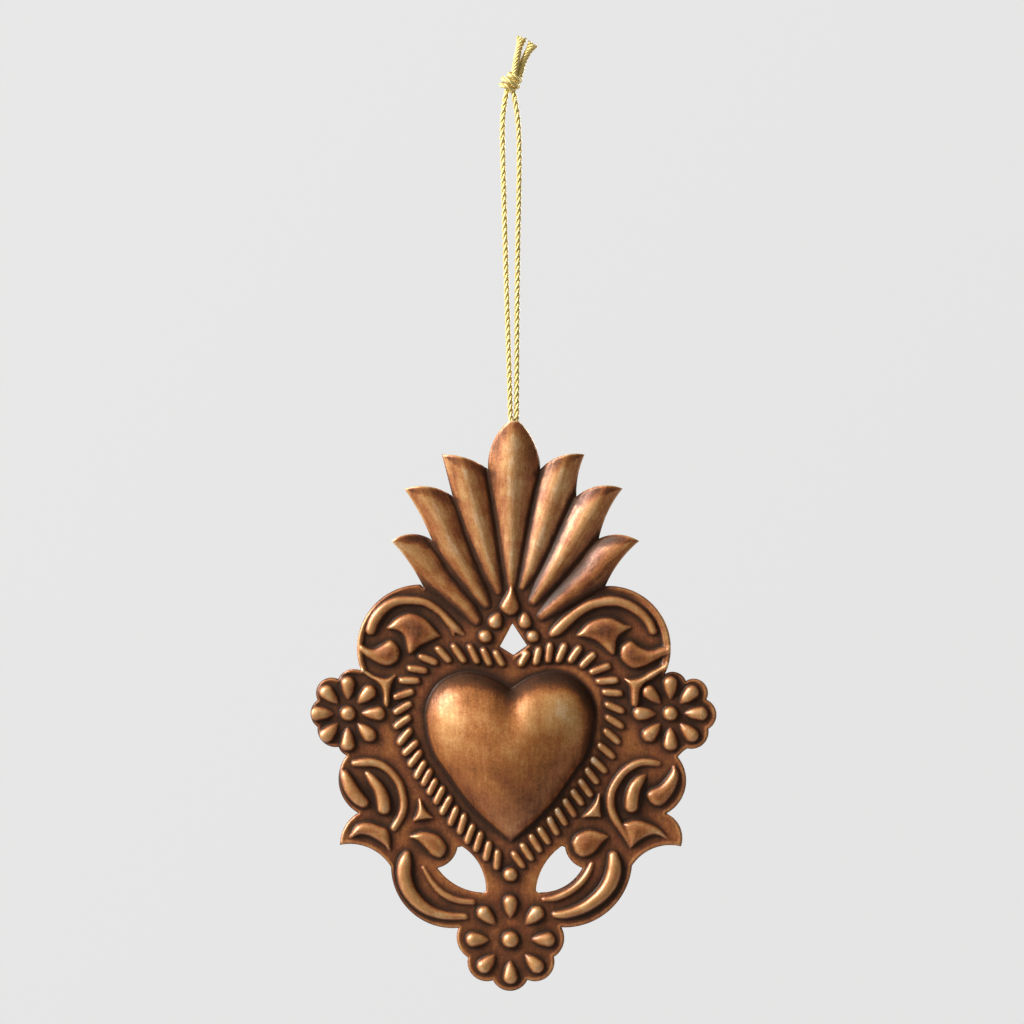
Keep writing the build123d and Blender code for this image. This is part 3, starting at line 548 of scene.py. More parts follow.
def sampled(field, points):
    """Field read at points between its cells."""
    at = (np.asarray(points) - MAP_LOW) / CELL
    cell = np.clip(at.astype(int), 0, np.array(field.T.shape) - 2)
    fu, fv = (at - cell).T
    cu, cv = cell.T
    below = field[cv, cu] * (1 - fu) + field[cv, cu + 1] * fu
    above = field[cv + 1, cu] * (1 - fu) + field[cv + 1, cu + 1] * fu
    return below * (1 - fv) + above * fv


def sides_of(ring):
    """Both ends of every side of a closed ring, as rows of u, v, u, v."""
    return np.hstack([ring, np.roll(ring, -1, 0)])


def within(ring, u, v):
    """True where a point of the map is inside a closed ring."""
    inside = np.zeros(u.shape, bool)
    for u0, v0, u1, v1 in sides_of(ring):
        if v0 != v1:
            inside ^= ((v0 > v) != (v1 > v)) & (u < (u1 - u0) * (v - v0) / (v1 - v0) + u0)
    return inside


def in_sheet(rings, u, v):
    """True where a point is inside the first ring and outside the others."""
    inside = within(rings[0], u, v)
    for ring in rings[1:]:
        inside &= ~within(ring, u, v)
    return inside


def side_distance(u, v, u0, v0, u1, v1):
    """Distance from each point to a straight side, and the share along it of the nearest point."""
    du, dv = u1 - u0, v1 - v0
    share = np.clip(((u - u0) * du + (v - v0) * dv) / max(du * du + dv * dv, 1e-9), 0, 1)
    return np.hypot(u - u0 - share * du, v - v0 - share * dv), share


def edge_distance(ring, u, v):
    """Distance from each point to the nearest side of a closed ring."""
    best = np.full(u.shape, 1e3)
    for side in sides_of(ring):
        best = np.minimum(best, side_distance(u, v, *side)[0])
    return best


def rim_distance(rings):
    """Distance from the nearest of some cut edges, close to them."""
    near = np.full(U.shape, FAR)
    for side in np.vstack([sides_of(ring) for ring in rings]):
        rows = window([side[:2], side[2:]], RIM_REACH)
        near[rows] = np.minimum(near[rows], side_distance(U[rows], V[rows], *side)[0])
    return near


class Relief:
    """Pressed front: its height above the flat sheet, and what its patina and its painted light need to
    know.
    """

    def __init__(self):
        self.height = np.zeros(U.shape)
        self.reach = np.full(U.shape, FAR)
        self.polish_and_painted_light = np.zeros(U.shape)
        self.brushed = np.full(U.shape, SHEET_BRUSHED)
        self.gilt = np.zeros(U.shape)
        self.lane = U.copy()
        self.run = V.copy()

    def press(self, rows, height, outside, polish_and_painted_light=0.0, brushed=FORM_BRUSHED, lane=None, run=None):
        """Raise the sheet in a window to a form, and note how far outside its foot each point lies."""
        higher = height > self.height[rows]
        fields = ((self.polish_and_painted_light, polish_and_painted_light), (self.brushed, brushed), (self.lane, lane), (self.run, run))
        for field, value in fields:
            if value is not None:
                field[rows] = np.where(higher, value, field[rows])
        self.height[rows] = np.maximum(self.height[rows], height)
        self.reach[rows] = np.minimum(self.reach[rows], outside)

    def ridge(self, stations, crown=None, rise=None, sharp=2.2, full=0.5, foot=FOOT, crest=0.0,
              polish_and_painted_light=(0.0, 0.0, 0.0), painted_shade=0.0, brushed=FORM_BRUSHED):
        """Ridge of varying width along a middle line, as high as a share of its width or a fixed rise."""
        line = smooth_line(stations, per_span=8)
        rows = window(line, line[:, 2].max() / 2 + MARGIN)
        u, v = U[rows], V[rows]
        height = np.zeros(u.shape)
        outside = np.full(u.shape, FAR)
        across = np.ones(u.shape)
        lane = np.zeros(u.shape)
        run = np.zeros(u.shape)
        passed = 0.0
        for (u0, v0, w0), (u1, v1, w1) in zip(line, line[1:]):
            away, share = side_distance(u, v, u0, v0, u1, v1)
            half = (np.maximum(w0 + share * (w1 - w0), LEAST_WIDTH) + foot) / 2
            top = crown * 2 * half if rise is None else rise
            flank = np.clip(1 - (np.hypot(away, crest) / half) ** sharp, 0, 1)
            height = np.maximum(height, top * flank ** full)
            outside = np.minimum(outside, away - half)
            nearer = away / half < across
            across = np.where(nearer, away / half, across)
            side = np.sign((u1 - u0) * (v - v0) - (v1 - v0) * (u - u0))
            lane = np.where(nearer, side * away + LANE_SHIFT * line[0][0], lane)
            run = np.where(nearer, passed + share * math.hypot(u1 - u0, v1 - v0), run)
            passed += math.hypot(u1 - u0, v1 - v0)
        at_edge, crest_wear_and_highlight, at_base = polish_and_painted_light
        at_edge = at_edge * (1 - PETAL_TIP_SHARE * fade(v, *PETAL_TIP_SPAN))
        # Crests brighter as rubbed wear and a painted highlight; the amount taken off last is painted shade
        # over the whole ridge
        brightness_shift = at_edge * across ** 1.5 + crest_wear_and_highlight * (1 - across)
        brightness_shift = brightness_shift - at_base * fade(v, *PETAL_BASE_SPAN) - painted_shade
        self.press(rows, height, outside, brightness_shift, brushed, lane, run)

    def boss(self, ring):
        """Boss with rounded shoulders inside a ring, and a slight crown."""
        rows = window(ring, MARGIN)
        u, v = U[rows], V[rows]
        inside = within(ring, u, v)
        away = edge_distance(ring, u, v)
        rounding = min(SHIELD_ROUND, SHIELD_SHARE * away[inside].max())
        height = SHIELD_RISE * (1 - (1 - fade(away, 0, rounding)) ** 2) ** 0.5 + SHIELD_CROWN * away
        brightness_shift = SHIELD_POLISH[0] + SHIELD_POLISH[1] * fade(away, 0, SHIELD_DULL_DEPTH)
        self.press(rows, np.where(inside, height, 0), np.where(inside, -away, away), brightness_shift)

    def between(self, start, end, width, shares, **form):
        """Short ridge between two points, its width following a list of shares."""
        stations = [(start[0] + s * (end[0] - start[0]), start[1] + s * (end[1] - start[1]), w * width)
                    for s, w in shares]
        self.ridge(stations, **form)

    def bead(self, middle, radius):
        """Round boss."""
        ends = [(middle[0] + side * BEAD_STUB, middle[1], 2 * radius) for side in (-1, 1)]
        self.ridge(ends, rise=BEAD_RISE * radius)

    def flower(self, centre, bead_radius, point_radius, end_radius, width):
        """Middle bead and a ring of teardrop petals pointing inwards."""
        self.bead(centre, bead_radius)
        for i in range(FLOWER_PETALS):
            angle = math.tau * i / FLOWER_PETALS
            out = np.array((math.cos(angle), math.sin(angle)))
            self.between(centre + point_radius * out, centre + end_radius * out, width, TEARDROP,
                         crown=FLOWER_CROWN)


def shield_ring(pairs):
    """Closed ring of a broad boss, smooth along both edges and cornered at its ends."""
    first = [pair[0] if isinstance(pair[0], tuple) else pair for pair in pairs]
    second = [pair[1] if isinstance(pair[0], tuple) else pair for pair in pairs]
    ring = np.vstack([smooth_line(first, per_span=6), smooth_line(second[::-1], per_span=6)])
    keep = np.hypot(*(ring - np.roll(ring, 1, 0)).T) > 1e-6
    return ring[keep]


def heart_ring():
    """Closed outline of the puffed heart."""
    right = smooth_line(HEART_HALF, per_span=12)
    left = right[-2:0:-1] * (-1, 1)
    return np.vstack([right * (RIGHT_SHARE, 1), left])


def heart_polish_and_painted_light(u, v, away):
    """How bright the heart is: dull along its edge and in the cleft, with painted shade along the edge and
    most on its right side, and painted highlights and painted shade in patches.
    """
    top = fade(v, *HEART_TOP_SPAN)
    all_round, at_top, right_painted_shade = HEART_EDGE_DULL_AND_SHADE
    # Along the edge this is patina with painted shade; the extra share on the right is painted shade
    wall = all_round + at_top * top + right_painted_shade * fade(u, *HEART_RIGHT_SPAN) * fade(v, *HEART_UPPER_SPAN)
    polish_and_painted_light = HEART_POLISH - wall * bell(away, HEART_EDGE_WIDTHS[0] + HEART_EDGE_WIDTHS[1] * top)
    polish_and_painted_light -= CLEFT_DULL * bell(u, CLEFT_WIDTH) * fade(v, *CLEFT_SPAN)
    # Painted highlights and painted shade in patches
    for amount, middle_u, middle_v, spread_u, spread_v in HEART_PAINTED_LIGHT:
        polish_and_painted_light += amount * bell(u - middle_u, spread_u) * bell(v - middle_v, spread_v)
    return polish_and_painted_light


def puffed(ring):
    """The heart on its window of the map: a sheet puffed up inside a ring like a blown skin."""
    rows = window(ring, MARGIN)
    u, v = U[rows], V[rows]
    inside = within(ring, u, v)
    skin = None
    for skip in SKIN_STEPS:
        hold = inside[::skip, ::skip]
        if skin is None:
            skin = np.zeros(hold.shape)
        else:
            skin = np.kron(skin, np.ones((2, 2)))[:hold.shape[0], :hold.shape[1]]
        for _ in range(SKIN_ROUNDS):
            around = sum(np.roll(skin, way, axis) for axis in (0, 1) for way in (1, -1)) / 4
            skin = np.where(hold, around + (skip * CELL) ** 2 / 4, 0)
    fine = np.kron(skin, np.ones((2, 2)))[:u.shape[0], :u.shape[1]]
    fine = blurred(fine, SKIN_BLUR) * inside
    fine = fine / fine.max()
    valley = fade(v, *VALLEY_SPAN) ** 1.3 * bell(u, VALLEY_WIDTH)
    section = sum(share * fine ** power for share, power in SKIN_SHAPE)
    height = HEART_RISE * section * (1 - HEART_VALLEY * valley)
    away = edge_distance(ring, u, v)
    return rows, height, np.where(inside, -away, away), heart_polish_and_painted_light(u, v, away)


def pressed_relief():
    """Every pressed form of the plate."""
    relief = Relief()
    relief.ridge(TOP_PETAL, crown=TOP_PETAL_CROWN, **PETAL_FORM)
    # Painted shade darkens the two lower petals on the right
    for petal, painted_shade in zip(PETALS, PETAL_PAINTED_SHADE):
        relief.ridge(petal, crown=PETAL_CROWN, painted_shade=painted_shade, **PETAL_FORM)
    for stations in SCROLLS:
        relief.ridge(stations, crown=SCROLL_CROWN)
    for pairs in SHIELDS:
        relief.boss(shield_ring(pairs))
    for values in FLOWERS:
        relief.flower(*values)
    for middle, radius in BEADS:
        relief.bead(middle, radius)
    for point, end, width in DROPS:
        relief.between(point, end, width, TEARDROP, crown=FLOWER_CROWN)
    for start, end in LEFT_ROPE + RIGHT_ROPE:
        relief.between(start, end, STROKE_WIDTH, STROKE, rise=STROKE_RISE)
    rows, height, outside, polish_and_painted_light = puffed(heart_ring())
    relief.press(rows, height, outside, polish_and_painted_light, HEART_BRUSHED)
    # Painted light on the flat beside the heart's right edge, against the heart's shade
    relief.polish_and_painted_light[rows] += band(outside, *MOAT_PAINTED_LIGHT) * (outside > 0) * fade(U[rows], *MOAT_PAINTED_LIGHT_SPAN)
    relief.gilt[rows] = fade(-outside, *GILT_EDGE_SPAN) * np.maximum(fade(V[rows], *GILT_SPAN), TIP_GILT)
    return relief


def front_height(relief, outer, rim):
    """Height of the finished front: relief, trenches, broad rims, raised lip and rounded edge."""
    trench = TRENCH * np.clip(1 - np.clip(relief.reach, 0, FAR) / TRENCH_REACH, 0, 1) ** 2
    height = blurred(relief.height - np.where(relief.reach > 0, trench, 0), FRONT_BLUR)
    beside_scroll = fade(V, *RIM_LOW_SPAN) * fade(V, *RIM_HIGH_SPAN) * (np.abs(U) > BROAD_RIM_SIDE)
    past_rim = np.tanh((outer - np.where(U < 0, *BROAD_RIMS)) / BROAD_RIM_STEP)
    height = np.maximum(height, BROAD_RIM_RISE * beside_scroll * (1 - past_rim) / 2)
    lip = band(outer, *LIP) * fade(V, *LIP_SPAN)
    turned = EDGE_DROP * (1 - np.sqrt(np.clip(1 - (1 - fade(rim, 0, EDGE_ROUND)) ** 2, 0, 1)))
    return height + lip - turned


def front_wear_and_painted_light(relief, height, outer, rim):
    """How far the patina of the front is rubbed away: least in the creases, most on the highest edges; the
    polish also brings painted highlights and painted shade.
    """
    low = np.minimum(height, LOW_RELIEF)
    stand = sum(weight * (low - blurred(low, spread)) for weight, spread in CREASES)
    across, along = np.gradient(blurred(height, STEEP_BLUR), CELL)
    steep = 1 - 1 / np.sqrt(1 + across ** 2 + along ** 2)
    wear_and_painted_light = FLAT_WEAR + np.where(stand > 0, CREST_SHARE * stand, stand) - STEEP_DULL * steep
    upper_edge = np.clip(-np.gradient(outer, CELL)[0], 0, 1) * band(outer, *PLUME_EDGE)
    # The polish brings rubbed wear together with painted highlights and painted shade
    wear_and_painted_light = wear_and_painted_light + blurred(relief.polish_and_painted_light, PATINA_BLUR) - upper_edge * fade(V, *PLUME_EDGE_SPAN)
    wear_and_painted_light = wear_and_painted_light + band(rim, *CUT_EDGE)
    return np.maximum(wear_and_painted_light, PLUME_FLOOR * fade(V, *PLUME_SPAN))


def grid_points(detail, spacing, clear):
    """Points of a triangular grid inside the sheet, every other one left out where the relief is plain."""
    points = []
    rise = spacing * math.sqrt(3) / 2
    for j in range(int((MAP_HIGH[1] - MAP_LOW[1]) / rise)):
        shift = spacing / 2 * (j % 2)
        us = np.arange(MAP_LOW[0] + shift, MAP_HIGH[0] - 2 * CELL, spacing)
        row = np.column_stack([us, np.full(len(us), MAP_LOW[1] + j * rise)])
        coarse = (np.arange(len(us)) + (j // 2) % 2) % 2 == 0
        keep = (sampled(detail, row) > 0.5) | (coarse & (j % 2 == 0))
        points.append(row[keep & (sampled(clear, row) > CLEARANCE * spacing)])
    return np.vstack(points)


def ring_edges(rings):
    """Pairs of neighbours, where the points of all rings follow each other in one list."""
    edges = []
    for ring in rings:
        first, count = len(edges), len(ring)
        edges += [(first + i, first + (i + 1) % count) for i in range(count)]
    return edges


def sheet_side(rings, inner):
    """Triangles between the rings and over the inner points, as places, faces and the rings' own points."""
    places = [Vector(p) for ring in rings for p in ring] + [Vector(p) for p in inner]
    edges = ring_edges(rings)
    verts, _, faces, sources, _, _ = delaunay_2d_cdt(places, edges, [], 0, 1e-7)
    flat = np.array([tuple(p) for p in verts])
    faces = np.array(faces)
    faces = faces[in_sheet(rings, *flat[faces].mean(1).T)]
    a, b, c = flat[faces[:, 0]], flat[faces[:, 1]], flat[faces[:, 2]]
    turned = (b - a)[:, 0] * (c - a)[:, 1] - (b - a)[:, 1] * (c - a)[:, 0] < 0
    faces[turned] = faces[turned][:, ::-1]
    place_of = {}
    for new, old in enumerate(sources):
        for index in old:
            place_of[index] = new
    border = [place_of[i] for i in range(len(edges))]
    return flat, faces, border


def placed(name, data):
    """New object in the scene."""
    made = bpy.data.objects.new(name, data)
    bpy.context.collection.objects.link(made)
    return made


def make_mesh(name, places, faces):
    """Smooth-shaded mesh object from rows of metres."""
    mesh = bpy.data.meshes.new(name)
    mesh.from_pydata([tuple(p) for p in places], [], [tuple(f) for f in faces])
    mesh.validate()
    mesh.polygons.foreach_set("use_smooth", [True] * len(mesh.polygons))
    return placed(name, mesh)


def add_values(piece, name, values):
    """Store one number per point for the material to read."""
    held = piece.data.attributes.new(name, "FLOAT", "POINT")
    held.data.foreach_set("value", np.asarray(values, np.float32))


def plate():
    """The stamped sheet: pressed front, hollow back and cut rim."""
    rings = [ring_points(OUTLINE_START, OUTLINE, RING_STEP)]
    rings += [ring_points(start, steps, RING_STEP) for start, steps in WINDOWS]
    outer = rim_distance(rings[:1])
    rim = np.minimum(outer, rim_distance(rings[1:]))
    relief = pressed_relief()
    height = front_height(relief, outer, rim)
    hollow = blurred(relief.height, HOLLOW_BLUR)
    fine = np.abs(height - blurred(height, DETAIL_BLUR))
    detail = (blurred(fine, DETAIL_BLUR) > DETAIL_LIMIT).astype(float)
    clear = np.where(in_sheet(rings, U, V), rim, 0)
    front_flat, front_faces, front_border = sheet_side(rings, grid_points(detail, FRONT_SPACING, clear))
    back_flat, back_faces, back_border = sheet_side(rings, grid_points(detail, BACK_SPACING, clear))
    rise = np.concatenate([sampled(height, front_flat), sampled(hollow, back_flat) - SHEET])
    flat = np.vstack([front_flat, back_flat])
    places = np.column_stack([flat[:, 0], FRONT_Y - rise, flat[:, 1] - PLATE_DROP]) * MM
    shift = len(front_flat)
    walls = []
    for a, b in ring_edges(rings):
        walls.append((front_border[b], front_border[a], shift + back_border[a]))
        walls.append((front_border[b], shift + back_border[a], shift + back_border[b]))
    faces = list(front_faces) + list(back_faces[:, ::-1] + shift) + walls
    piece = make_mesh("plate_sheet", places, faces)
    for polygon in piece.data.polygons[len(faces) - len(walls):]:
        polygon.use_smooth = False
    low_back = np.minimum(hollow, LOW_RELIEF)
    back_wear = BACK_WEAR - BACK_CREASE * (low_back - blurred(low_back, BACK_CREASE_BLUR))
    on_back = np.ones(len(back_flat))
    fields = (
        ("wear_and_painted_light", front_wear_and_painted_light(relief, height, outer, rim), sampled(back_wear, back_flat)),
        ("brushed", blurred(relief.brushed, PATINA_BLUR), FORM_BRUSHED * on_back),
        ("gilt", relief.gilt, BACK_GILT * on_back),
        ("lane", relief.lane, back_flat[:, 0]),
        ("run", relief.run, back_flat[:, 1]),
    )
    for name, front, back in fields:
        add_values(piece, name, np.concatenate([sampled(front, front_flat), back]))
    return piece, hollow - SHEET


def feed(socket, value):
    """Link an output to an input, or set a plain value on it."""
    if isinstance(value, bpy.types.NodeSocket):
        socket.id_data.links.new(value, socket)
    else:
        socket.default_value = value


def put(node, **values):
    """Feed a node's inputs, whose names have _ for a space here, and make its other settings."""
    for key, value in values.items():
        name = key.replace("_", " ")
        if name in node.inputs.keys():
            feed(node.inputs[name], value)
        else:
            setattr(node, key, value)


def adder(tree):
    """Function that adds a node to a tree, with its settings and its inputs by name or in their order."""
    def add(kind, *values, **named):
        node = tree.nodes.new(kind)
        put(node, **named)
        for socket, value in zip(node.inputs, values):
            feed(socket, value)
        return node

    return add


def nodes_of(name):
    """New material, its Principled shader, and a function that adds nodes to it."""
    made = bpy.data.materials.new(name)
    made.use_nodes = True
    tree = made.node_tree
    return made, tree.nodes["Principled BSDF"], adder(tree)


def ramp(node, stops):
    """Set the colour stops of a ramp, and give its colour."""
    marks = node.color_ramp.elements
    while len(marks) < len(stops):
        marks.new(0.5)
    for mark, (place, colour) in zip(marks, stops):
        mark.position = place
        mark.color = (*colour, 1)
    return node.outputs["Color"]


def copper():
    """Antiqued copper: bright where rubbed, brown on the flats and nearly black in the creases, with the
    painted highlights and painted shade that the wear value carries.
    """
    made, shader, add = nodes_of("antique_copper")

    def maths(operation, *values, **settings):
        return add("ShaderNodeMath", *values, operation=operation, **settings).outputs[0]

    def noise(place, scale, detail, roughness):
        node = add("ShaderNodeTexNoise", Vector=place, Scale=scale, Detail=detail, Roughness=roughness)
        return node.outputs["Fac"]

    wear_and_painted_light, lane, run, brushed, gilt = [add("ShaderNodeAttribute", attribute_name=name).outputs["Fac"]
                                      for name in ("wear_and_painted_light", "lane", "run", "brushed", "gilt")]
    where = add("ShaderNodeTexCoord").outputs["Object"]
    lanes = add("ShaderNodeCombineXYZ",
                maths("MULTIPLY", lane, LANE_SCALE), maths("MULTIPLY", run, RUN_SCALE))
    mottle = noise(where, *MOTTLE)
    grain = noise(where, *GRAIN)
    blush = noise(where, *BLUSH)
    streak = noise(lanes.outputs["Vector"], *STREAK)
    total = wear_and_painted_light
    for pattern, share, strength in ((mottle, MOTTLE_SHARE, 1.0), (grain, GRAIN_SHARE, 1.0),
                                     (streak, STREAK_SHARE, brushed)):
        swing = maths("MULTIPLY_ADD", pattern, share, -share / 2)
        total = maths("MULTIPLY_ADD", swing, strength, total)
    ruddiness = add("ShaderNodeMapRange", Value=blush, From_Min=0.40, From_Max=0.64).outputs["Result"]
    tone = add("ShaderNodeMix", data_type="RGBA",
               Factor=maths("MULTIPLY_ADD", gilt, -GILT_GOLDEN, ruddiness, use_clamp=True),
               A=ramp(add("ShaderNodeValToRGB", total), GOLDEN),
               B=ramp(add("ShaderNodeValToRGB", total), RUDDY))
    for socket, dark, bright, low, high in GLOSS:
        spread = add("ShaderNodeMapRange", Value=total, From_Min=low, From_Max=high,
                     To_Min=dark, To_Max=bright)
        value = spread.outputs["Result"]
        if socket == "Coat Weight":
            value = maths("MULTIPLY_ADD", gilt, -GILT_COAT, value, use_clamp=True)
        feed(shader.inputs[socket], value)
    bump = add("ShaderNodeBump", Strength=0.35, Distance=0.00008, Height=grain)
    waves = add("ShaderNodeBump", Strength=0.22, Distance=0.0003, Height=mottle,
                Normal=bump.outputs["Normal"])
    put(shader, Base_Color=tone.outputs["Result"], Normal=waves.outputs["Normal"], Specular_IOR_Level=0.15,
        Coat_Roughness=0.36, Coat_IOR=1.7, Specular_Tint=(1.0, 0.76, 0.5, 1))
    return made


def gold_thread():
    """Metallic gold thread with fine glinting flecks."""
    made, shader, add = nodes_of("gold_thread")
    where = add("ShaderNodeTexCoord").outputs["Object"]
    fleck = add("ShaderNodeTexNoise", Vector=where, Scale=4200.0, Detail=3.0, Roughness=0.6).outputs["Fac"]
    bump = add("ShaderNodeBump", Strength=0.6, Distance=0.00008, Height=fleck)
    put(shader, Base_Color=ramp(add("ShaderNodeValToRGB", fleck), GOLD), Normal=bump.outputs["Normal"],
        Metallic=0.35, Roughness=0.36)
    return made


def grey_solder():
    """Dull grey solder."""
    made, shader, add = nodes_of("grey_solder")
    where = add("ShaderNodeTexCoord").outputs["Object"]
    cloud = add("ShaderNodeTexNoise", Vector=where, Scale=1800.0, Detail=4.0).outputs["Fac"]
    put(shader, Base_Color=ramp(add("ShaderNodeValToRGB", cloud), GREY), Metallic=0.8, Roughness=0.45)
    return made


def run_lengths(line):
    """Length along a line up to each of its points."""
    return np.concatenate([[0], np.cumsum(np.linalg.norm(np.diff(line, axis=0), axis=1))])


def spline_points(route, step):
    """Evenly spaced points in metres along a smooth spline steered by a route in millimetres."""
    curve = bpy.data.curves.new("route", "CURVE")
    curve.dimensions = "3D"
    spline = curve.splines.new("NURBS")
    spline.points.add(len(route) - 1)
    for point, place in zip(spline.points, route):
        point.co = (*[x * MM for x in place], 1)
    spline.order_u = 3
    spline.use_endpoint_u = True
    spline.resolution_u = 24
    holder = placed("route", curve)
    bpy.context.view_layer.update()
    mesh = bpy.data.meshes.new_from_object(holder)
    line = np.array([tuple(p.co) for p in mesh.vertices])
    bpy.data.objects.remove(holder)
    bpy.data.curves.remove(curve)
    bpy.data.meshes.remove(mesh)
    along = run_lengths(line)
    at = np.linspace(0, along[-1], max(3, int(along[-1] / (step * MM))))
    return np.column_stack([np.interp(at, along, line[:, k]) for k in range(3)])


def frames(line):
    """Two directions across a line at each point, turning as little as they can."""
    ahead = np.gradient(line, axis=0)
    ahead /= np.linalg.norm(ahead, axis=1)[:, None]
    side = np.cross(ahead[0], (0, 1, 0) if abs(ahead[0][1]) < 0.9 else (1, 0, 0))
    sides = []
    for along in ahead:
        side = side - along * np.dot(side, along)
        side = side / np.linalg.norm(side)
        sides.append(side)
    sides = np.array(sides)
    return sides, np.cross(ahead, sides)


def tube_places(line, radius, sides):
    """Points of a tube along a line, ring by ring."""
    across, up = frames(line)
    turn = np.arange(sides) * math.tau / sides
    rings = line[:, None] + radius * (
        np.cos(turn)[None, :, None] * across[:, None] + np.sin(turn)[None, :, None] * up[:, None])
    return rings.reshape(-1, 3)


def ring_faces(rows, count, shift=0):
    """Faces between rings of points that follow each other, with both ends closed."""
    faces = []
    for i in range(rows - 1):
        for k in range(count):
            a, b = shift + i * count + k, shift + i * count + (k + 1) % count
            faces.append((a, b, b + count, a + count))
    last = shift + (rows - 1) * count
    faces.append(tuple(range(shift, shift + count))[::-1])
    faces.append(tuple(range(last, last + count)))
    return faces


def twisted(name, line, count=STRANDS, swell=1.0, fray=0.0):
    """Twisted cord of several strands along a line, its end opened out by a share of its thickness."""
    across, up = frames(line)
    along = run_lengths(line)
    half = swell * CORD / 2 * MM
    strand = half / STRAND_FIT[count]
    open_end = fade(along, along[-1] - FRAY_REACH * MM, FRAY_REACH * MM) ** 1.5 * fray
    out = ((half - strand) * (1 + FRAY_SPREAD * open_end))[:, None]
    places, faces = [], []
    for k in range(count):
        turn = along / (STRAND_PITCH * MM) * math.tau + k * math.tau / count
        centre = line + out * (np.cos(turn)[:, None] * across + np.sin(turn)[:, None] * up)
        places.append(tube_places(centre, strand, STRAND_SIDES))
        faces += ring_faces(len(line), STRAND_SIDES, k * len(line) * STRAND_SIDES)
    return make_mesh(name, np.vstack(places), faces)


def knot_line():
    """Wraps of the knot, with both ends tucked in."""
    tilt = math.radians(KNOT_TILT)
    count = round(KNOT_TURNS * KNOT_POINTS)
    route = []
    for i in range(count + 1):
        share = i / count
        turn = math.pi + share * KNOT_TURNS * math.tau
        tuck = min(1.0, share / KNOT_TUCK_SHARE, (1 - share) / KNOT_TUCK_SHARE)
        radius = KNOT_RADIUS * (KNOT_TUCK + (1 - KNOT_TUCK) * tuck)
        x = radius * math.cos(turn)
        z = (0.5 - share) * KNOT_TURNS * KNOT_PITCH
        route.append((KNOT_MIDDLE[0] + x * math.cos(tilt) + z * math.sin(tilt),
                      KNOT_MIDDLE[1] + radius * math.sin(turn),
                      KNOT_MIDDLE[2] + z * math.cos(tilt) - x * math.sin(tilt)))
    return spline_points(route, KNOT_STEP)


def eye_line():
    """Bent wire of the eye, from one foot to the other."""
    half = EYE_SPAN / 2
    left = [(-half, EYE_FOOT), (-half, -EYE_BEND), (-half, 0.0), (EYE_BEND - half, 0.0)]
    corners = left + [(-x, y) for x, y in left[::-1]]
    return spline_points([(EYE_U + x, y, EYE_Z) for x, y in corners], EYE_STEP)


def leg_route(side, upper):
    """Route of one leg of the cord, from the turn in the eye."""
    low, high = EYE_Z - SWING, EYE_Z + 2 * SWING
    leg = EYE_U + side * HALF_LEG
    return [(EYE_U, 0, low), (EYE_U, side * SWING, low), (EYE_U, side * SWING, high),
            (leg, 0, TURN_TOP - TURN_LEAD), (leg, 0, TURN_TOP), *upper]


def dressed(piece, material):
    """Give a piece its material."""
    piece.data.materials.append(material)
    return piece


def solder_drops(hollow):
    """Two soft lumps of solder round the feet of the eye."""
    places, faces = [], []
    rng = random.Random(4)
    for side in (-1, 1):
        faces += ring_faces(SOLDER_ROWS, SOLDER_SIDES, len(places))
        for i in range(SOLDER_ROWS):
            share = i / (SOLDER_ROWS - 1)
            radius = SOLDER_RADIUS * math.cos(share * math.pi / 2) ** SOLDER_ROUND + SOLDER_TOP
            for k in range(SOLDER_SIDES):
                turn = math.tau * k / SOLDER_SIDES
                wobble = 1 + SOLDER_LOBES * math.sin(3 * turn + side) + SOLDER_ROUGH * rng.random()
                u = EYE_U + side * EYE_SPAN / 2 + radius * wobble * math.cos(turn)
                v = EYE_V + radius * wobble * math.sin(turn)
                foot = float(sampled(hollow, [(u, v)])[0])
                depth = foot + SOLDER_SINK - share * SOLDER_RISE
                places.append((u * MM, (FRONT_Y - depth) * MM, (v - PLATE_DROP) * MM))
    return make_mesh("eye_solder_drops", places, faces)


def cords():
    """The doubled hanging cord with its knot and its two frayed tails."""
    gold = gold_thread()
    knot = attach(dressed(twisted("knot_wraps", knot_line()), gold), "cord_loop")
    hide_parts("cord_knot")
    for name, route in (("left", LEFT_TAIL), ("right", RIGHT_TAIL)):
        tail = twisted("tail_" + name, spline_points(route, CORD_STEP), TAIL_STRANDS, TAIL_SWELL, 1.0)
        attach(dressed(tail, gold), "cord_loop")
        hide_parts("cord_" + name + "_tail")
    for name, side, upper, extra in (("left", -1, LEFT_LEG, ["cord_bight"]), ("right", 1, RIGHT_LEG, [])):
        line = spline_points(leg_route(side, upper), CORD_STEP)
        leg = dressed(twisted("cord_" + name, line), gold)
        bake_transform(leg)
        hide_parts("cord_" + name + "_leg", *extra)


def camera():
    """Camera square to the plate, so that a pixel is the same size as in the photograph."""
    made = bpy.data.cameras.new("camera")
    made.lens = LENS
    made.sensor_width = SENSOR
    made.clip_start = 0.01
    holder = placed("camera", made)
    away = IMAGE * PIXEL * LENS / SENSOR
    middle_x = (IMAGE / 2 - ORIGIN_PIXEL[0]) * PIXEL
    middle_z = (ORIGIN_PIXEL[1] - IMAGE / 2) * PIXEL
    holder.location = (middle_x * MM, (FRONT_Y - away) * MM, middle_z * MM)
    holder.rotation_euler = (math.pi / 2, 0, 0)
    bpy.context.scene.camera = holder


def lamp(name, place, size, power, colour):
    """Round soft light aimed at the ornament."""
    made = bpy.data.lights.new(name, "AREA")
    made.shape = "DISK"
    made.size = size
    made.energy = power
    made.color = colour
    holder = placed(name, made)
    holder.location = place
    holder.rotation_euler = (Vector(LAMP_TARGET) - Vector(place)).to_track_quat("-Z", "Y").to_euler()


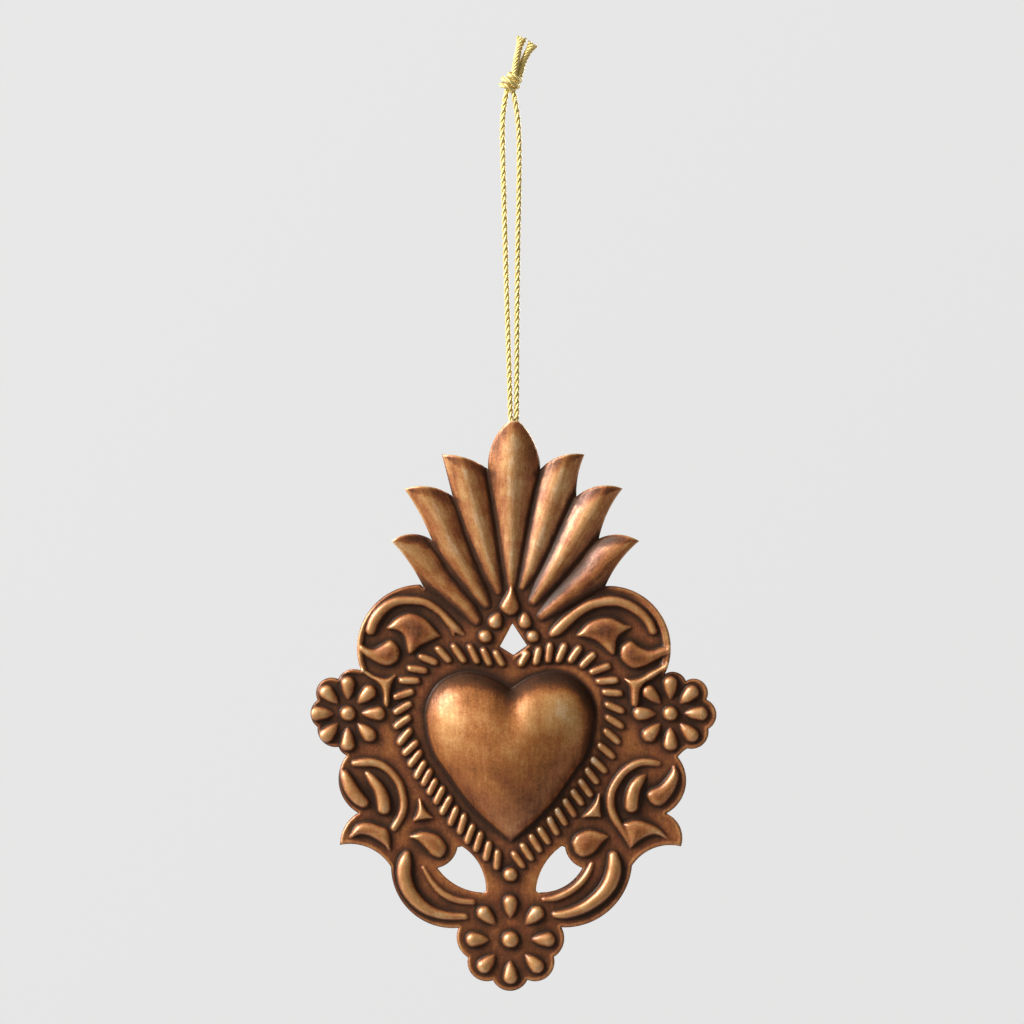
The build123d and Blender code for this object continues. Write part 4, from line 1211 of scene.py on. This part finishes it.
def surroundings():
    """World: a pale backdrop for the camera, a room with a bright side in the metal, and even soft light."""
    world = bpy.data.worlds.new("studio")
    bpy.context.scene.world = world
    world.use_nodes = True
    tree = world.node_tree
    add = adder(tree)

    def mixed(first, second, factor):
        return add("ShaderNodeMix", data_type="RGBA", A=first, B=second, Factor=factor).outputs["Result"]

    path = add("ShaderNodeLightPath").outputs
    where = add("ShaderNodeTexCoord").outputs["Generated"]
    towards = add("ShaderNodeVectorMath", where, BRIGHT_SIDE, operation="DOT_PRODUCT").outputs["Value"]
    half = add("ShaderNodeMapRange", Value=towards, From_Min=-1.0).outputs["Result"]
    backdrop = ramp(add("ShaderNodeValToRGB", half), BACKDROP)
    room = ramp(add("ShaderNodeValToRGB", half), ROOM)
    ahead = add("ShaderNodeSeparateXYZ", where).outputs["Y"]
    beyond = add("ShaderNodeMapRange", Value=ahead, From_Min=-0.1, From_Max=0.5).outputs["Result"]
    mirrored = add("ShaderNodeMath", path["Is Glossy Ray"], path["Is Transmission Ray"], operation="MAXIMUM")
    soft = mixed(SOFT_LIGHT, mixed(room, backdrop, beyond), mirrored.outputs[0])
    put(tree.nodes["Background"], Color=mixed(soft, backdrop, path["Is Camera Ray"]))


def studio():
    """Pale surroundings, a floor below the hanging ornament and soft light from the upper left."""
    surroundings()
    for values in LAMPS:
        lamp(*values)
    bpy.ops.mesh.primitive_cylinder_add(vertices=96, radius=FLOOR_RADIUS, depth=0.004,
                                        location=(0, 0, FLOOR_Z))
    floor = bpy.context.object
    floor.name = "floor"
    made, shader, _ = nodes_of("pale_floor")
    put(shader, Base_Color=FLOOR_COLOUR, Roughness=0.9)
    floor.data.materials.append(made)
    bpy.context.scene.view_settings.view_transform = "Standard"


camera()
studio()
metal = copper()
sheet, plate_hollow = plate()
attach(dressed(sheet, metal), "ornament")
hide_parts("stamped_plate")
staple_line = eye_line()
staple_places = tube_places(staple_line, EYE_WIRE / 2 * MM, WIRE_SIDES)
staple_faces = ring_faces(len(staple_line), WIRE_SIDES)
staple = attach(dressed(make_mesh("eye_staple", staple_places, staple_faces), metal), "ornament")
add_values(staple, "wear_and_painted_light", np.full(len(staple_places), STAPLE_WEAR))
add_values(staple, "brushed", np.full(len(staple_places), FORM_BRUSHED))
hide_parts("hanging_eye")
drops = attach(dressed(solder_drops(plate_hollow), grey_solder()), "ornament")
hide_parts("eye_solder")
cords()
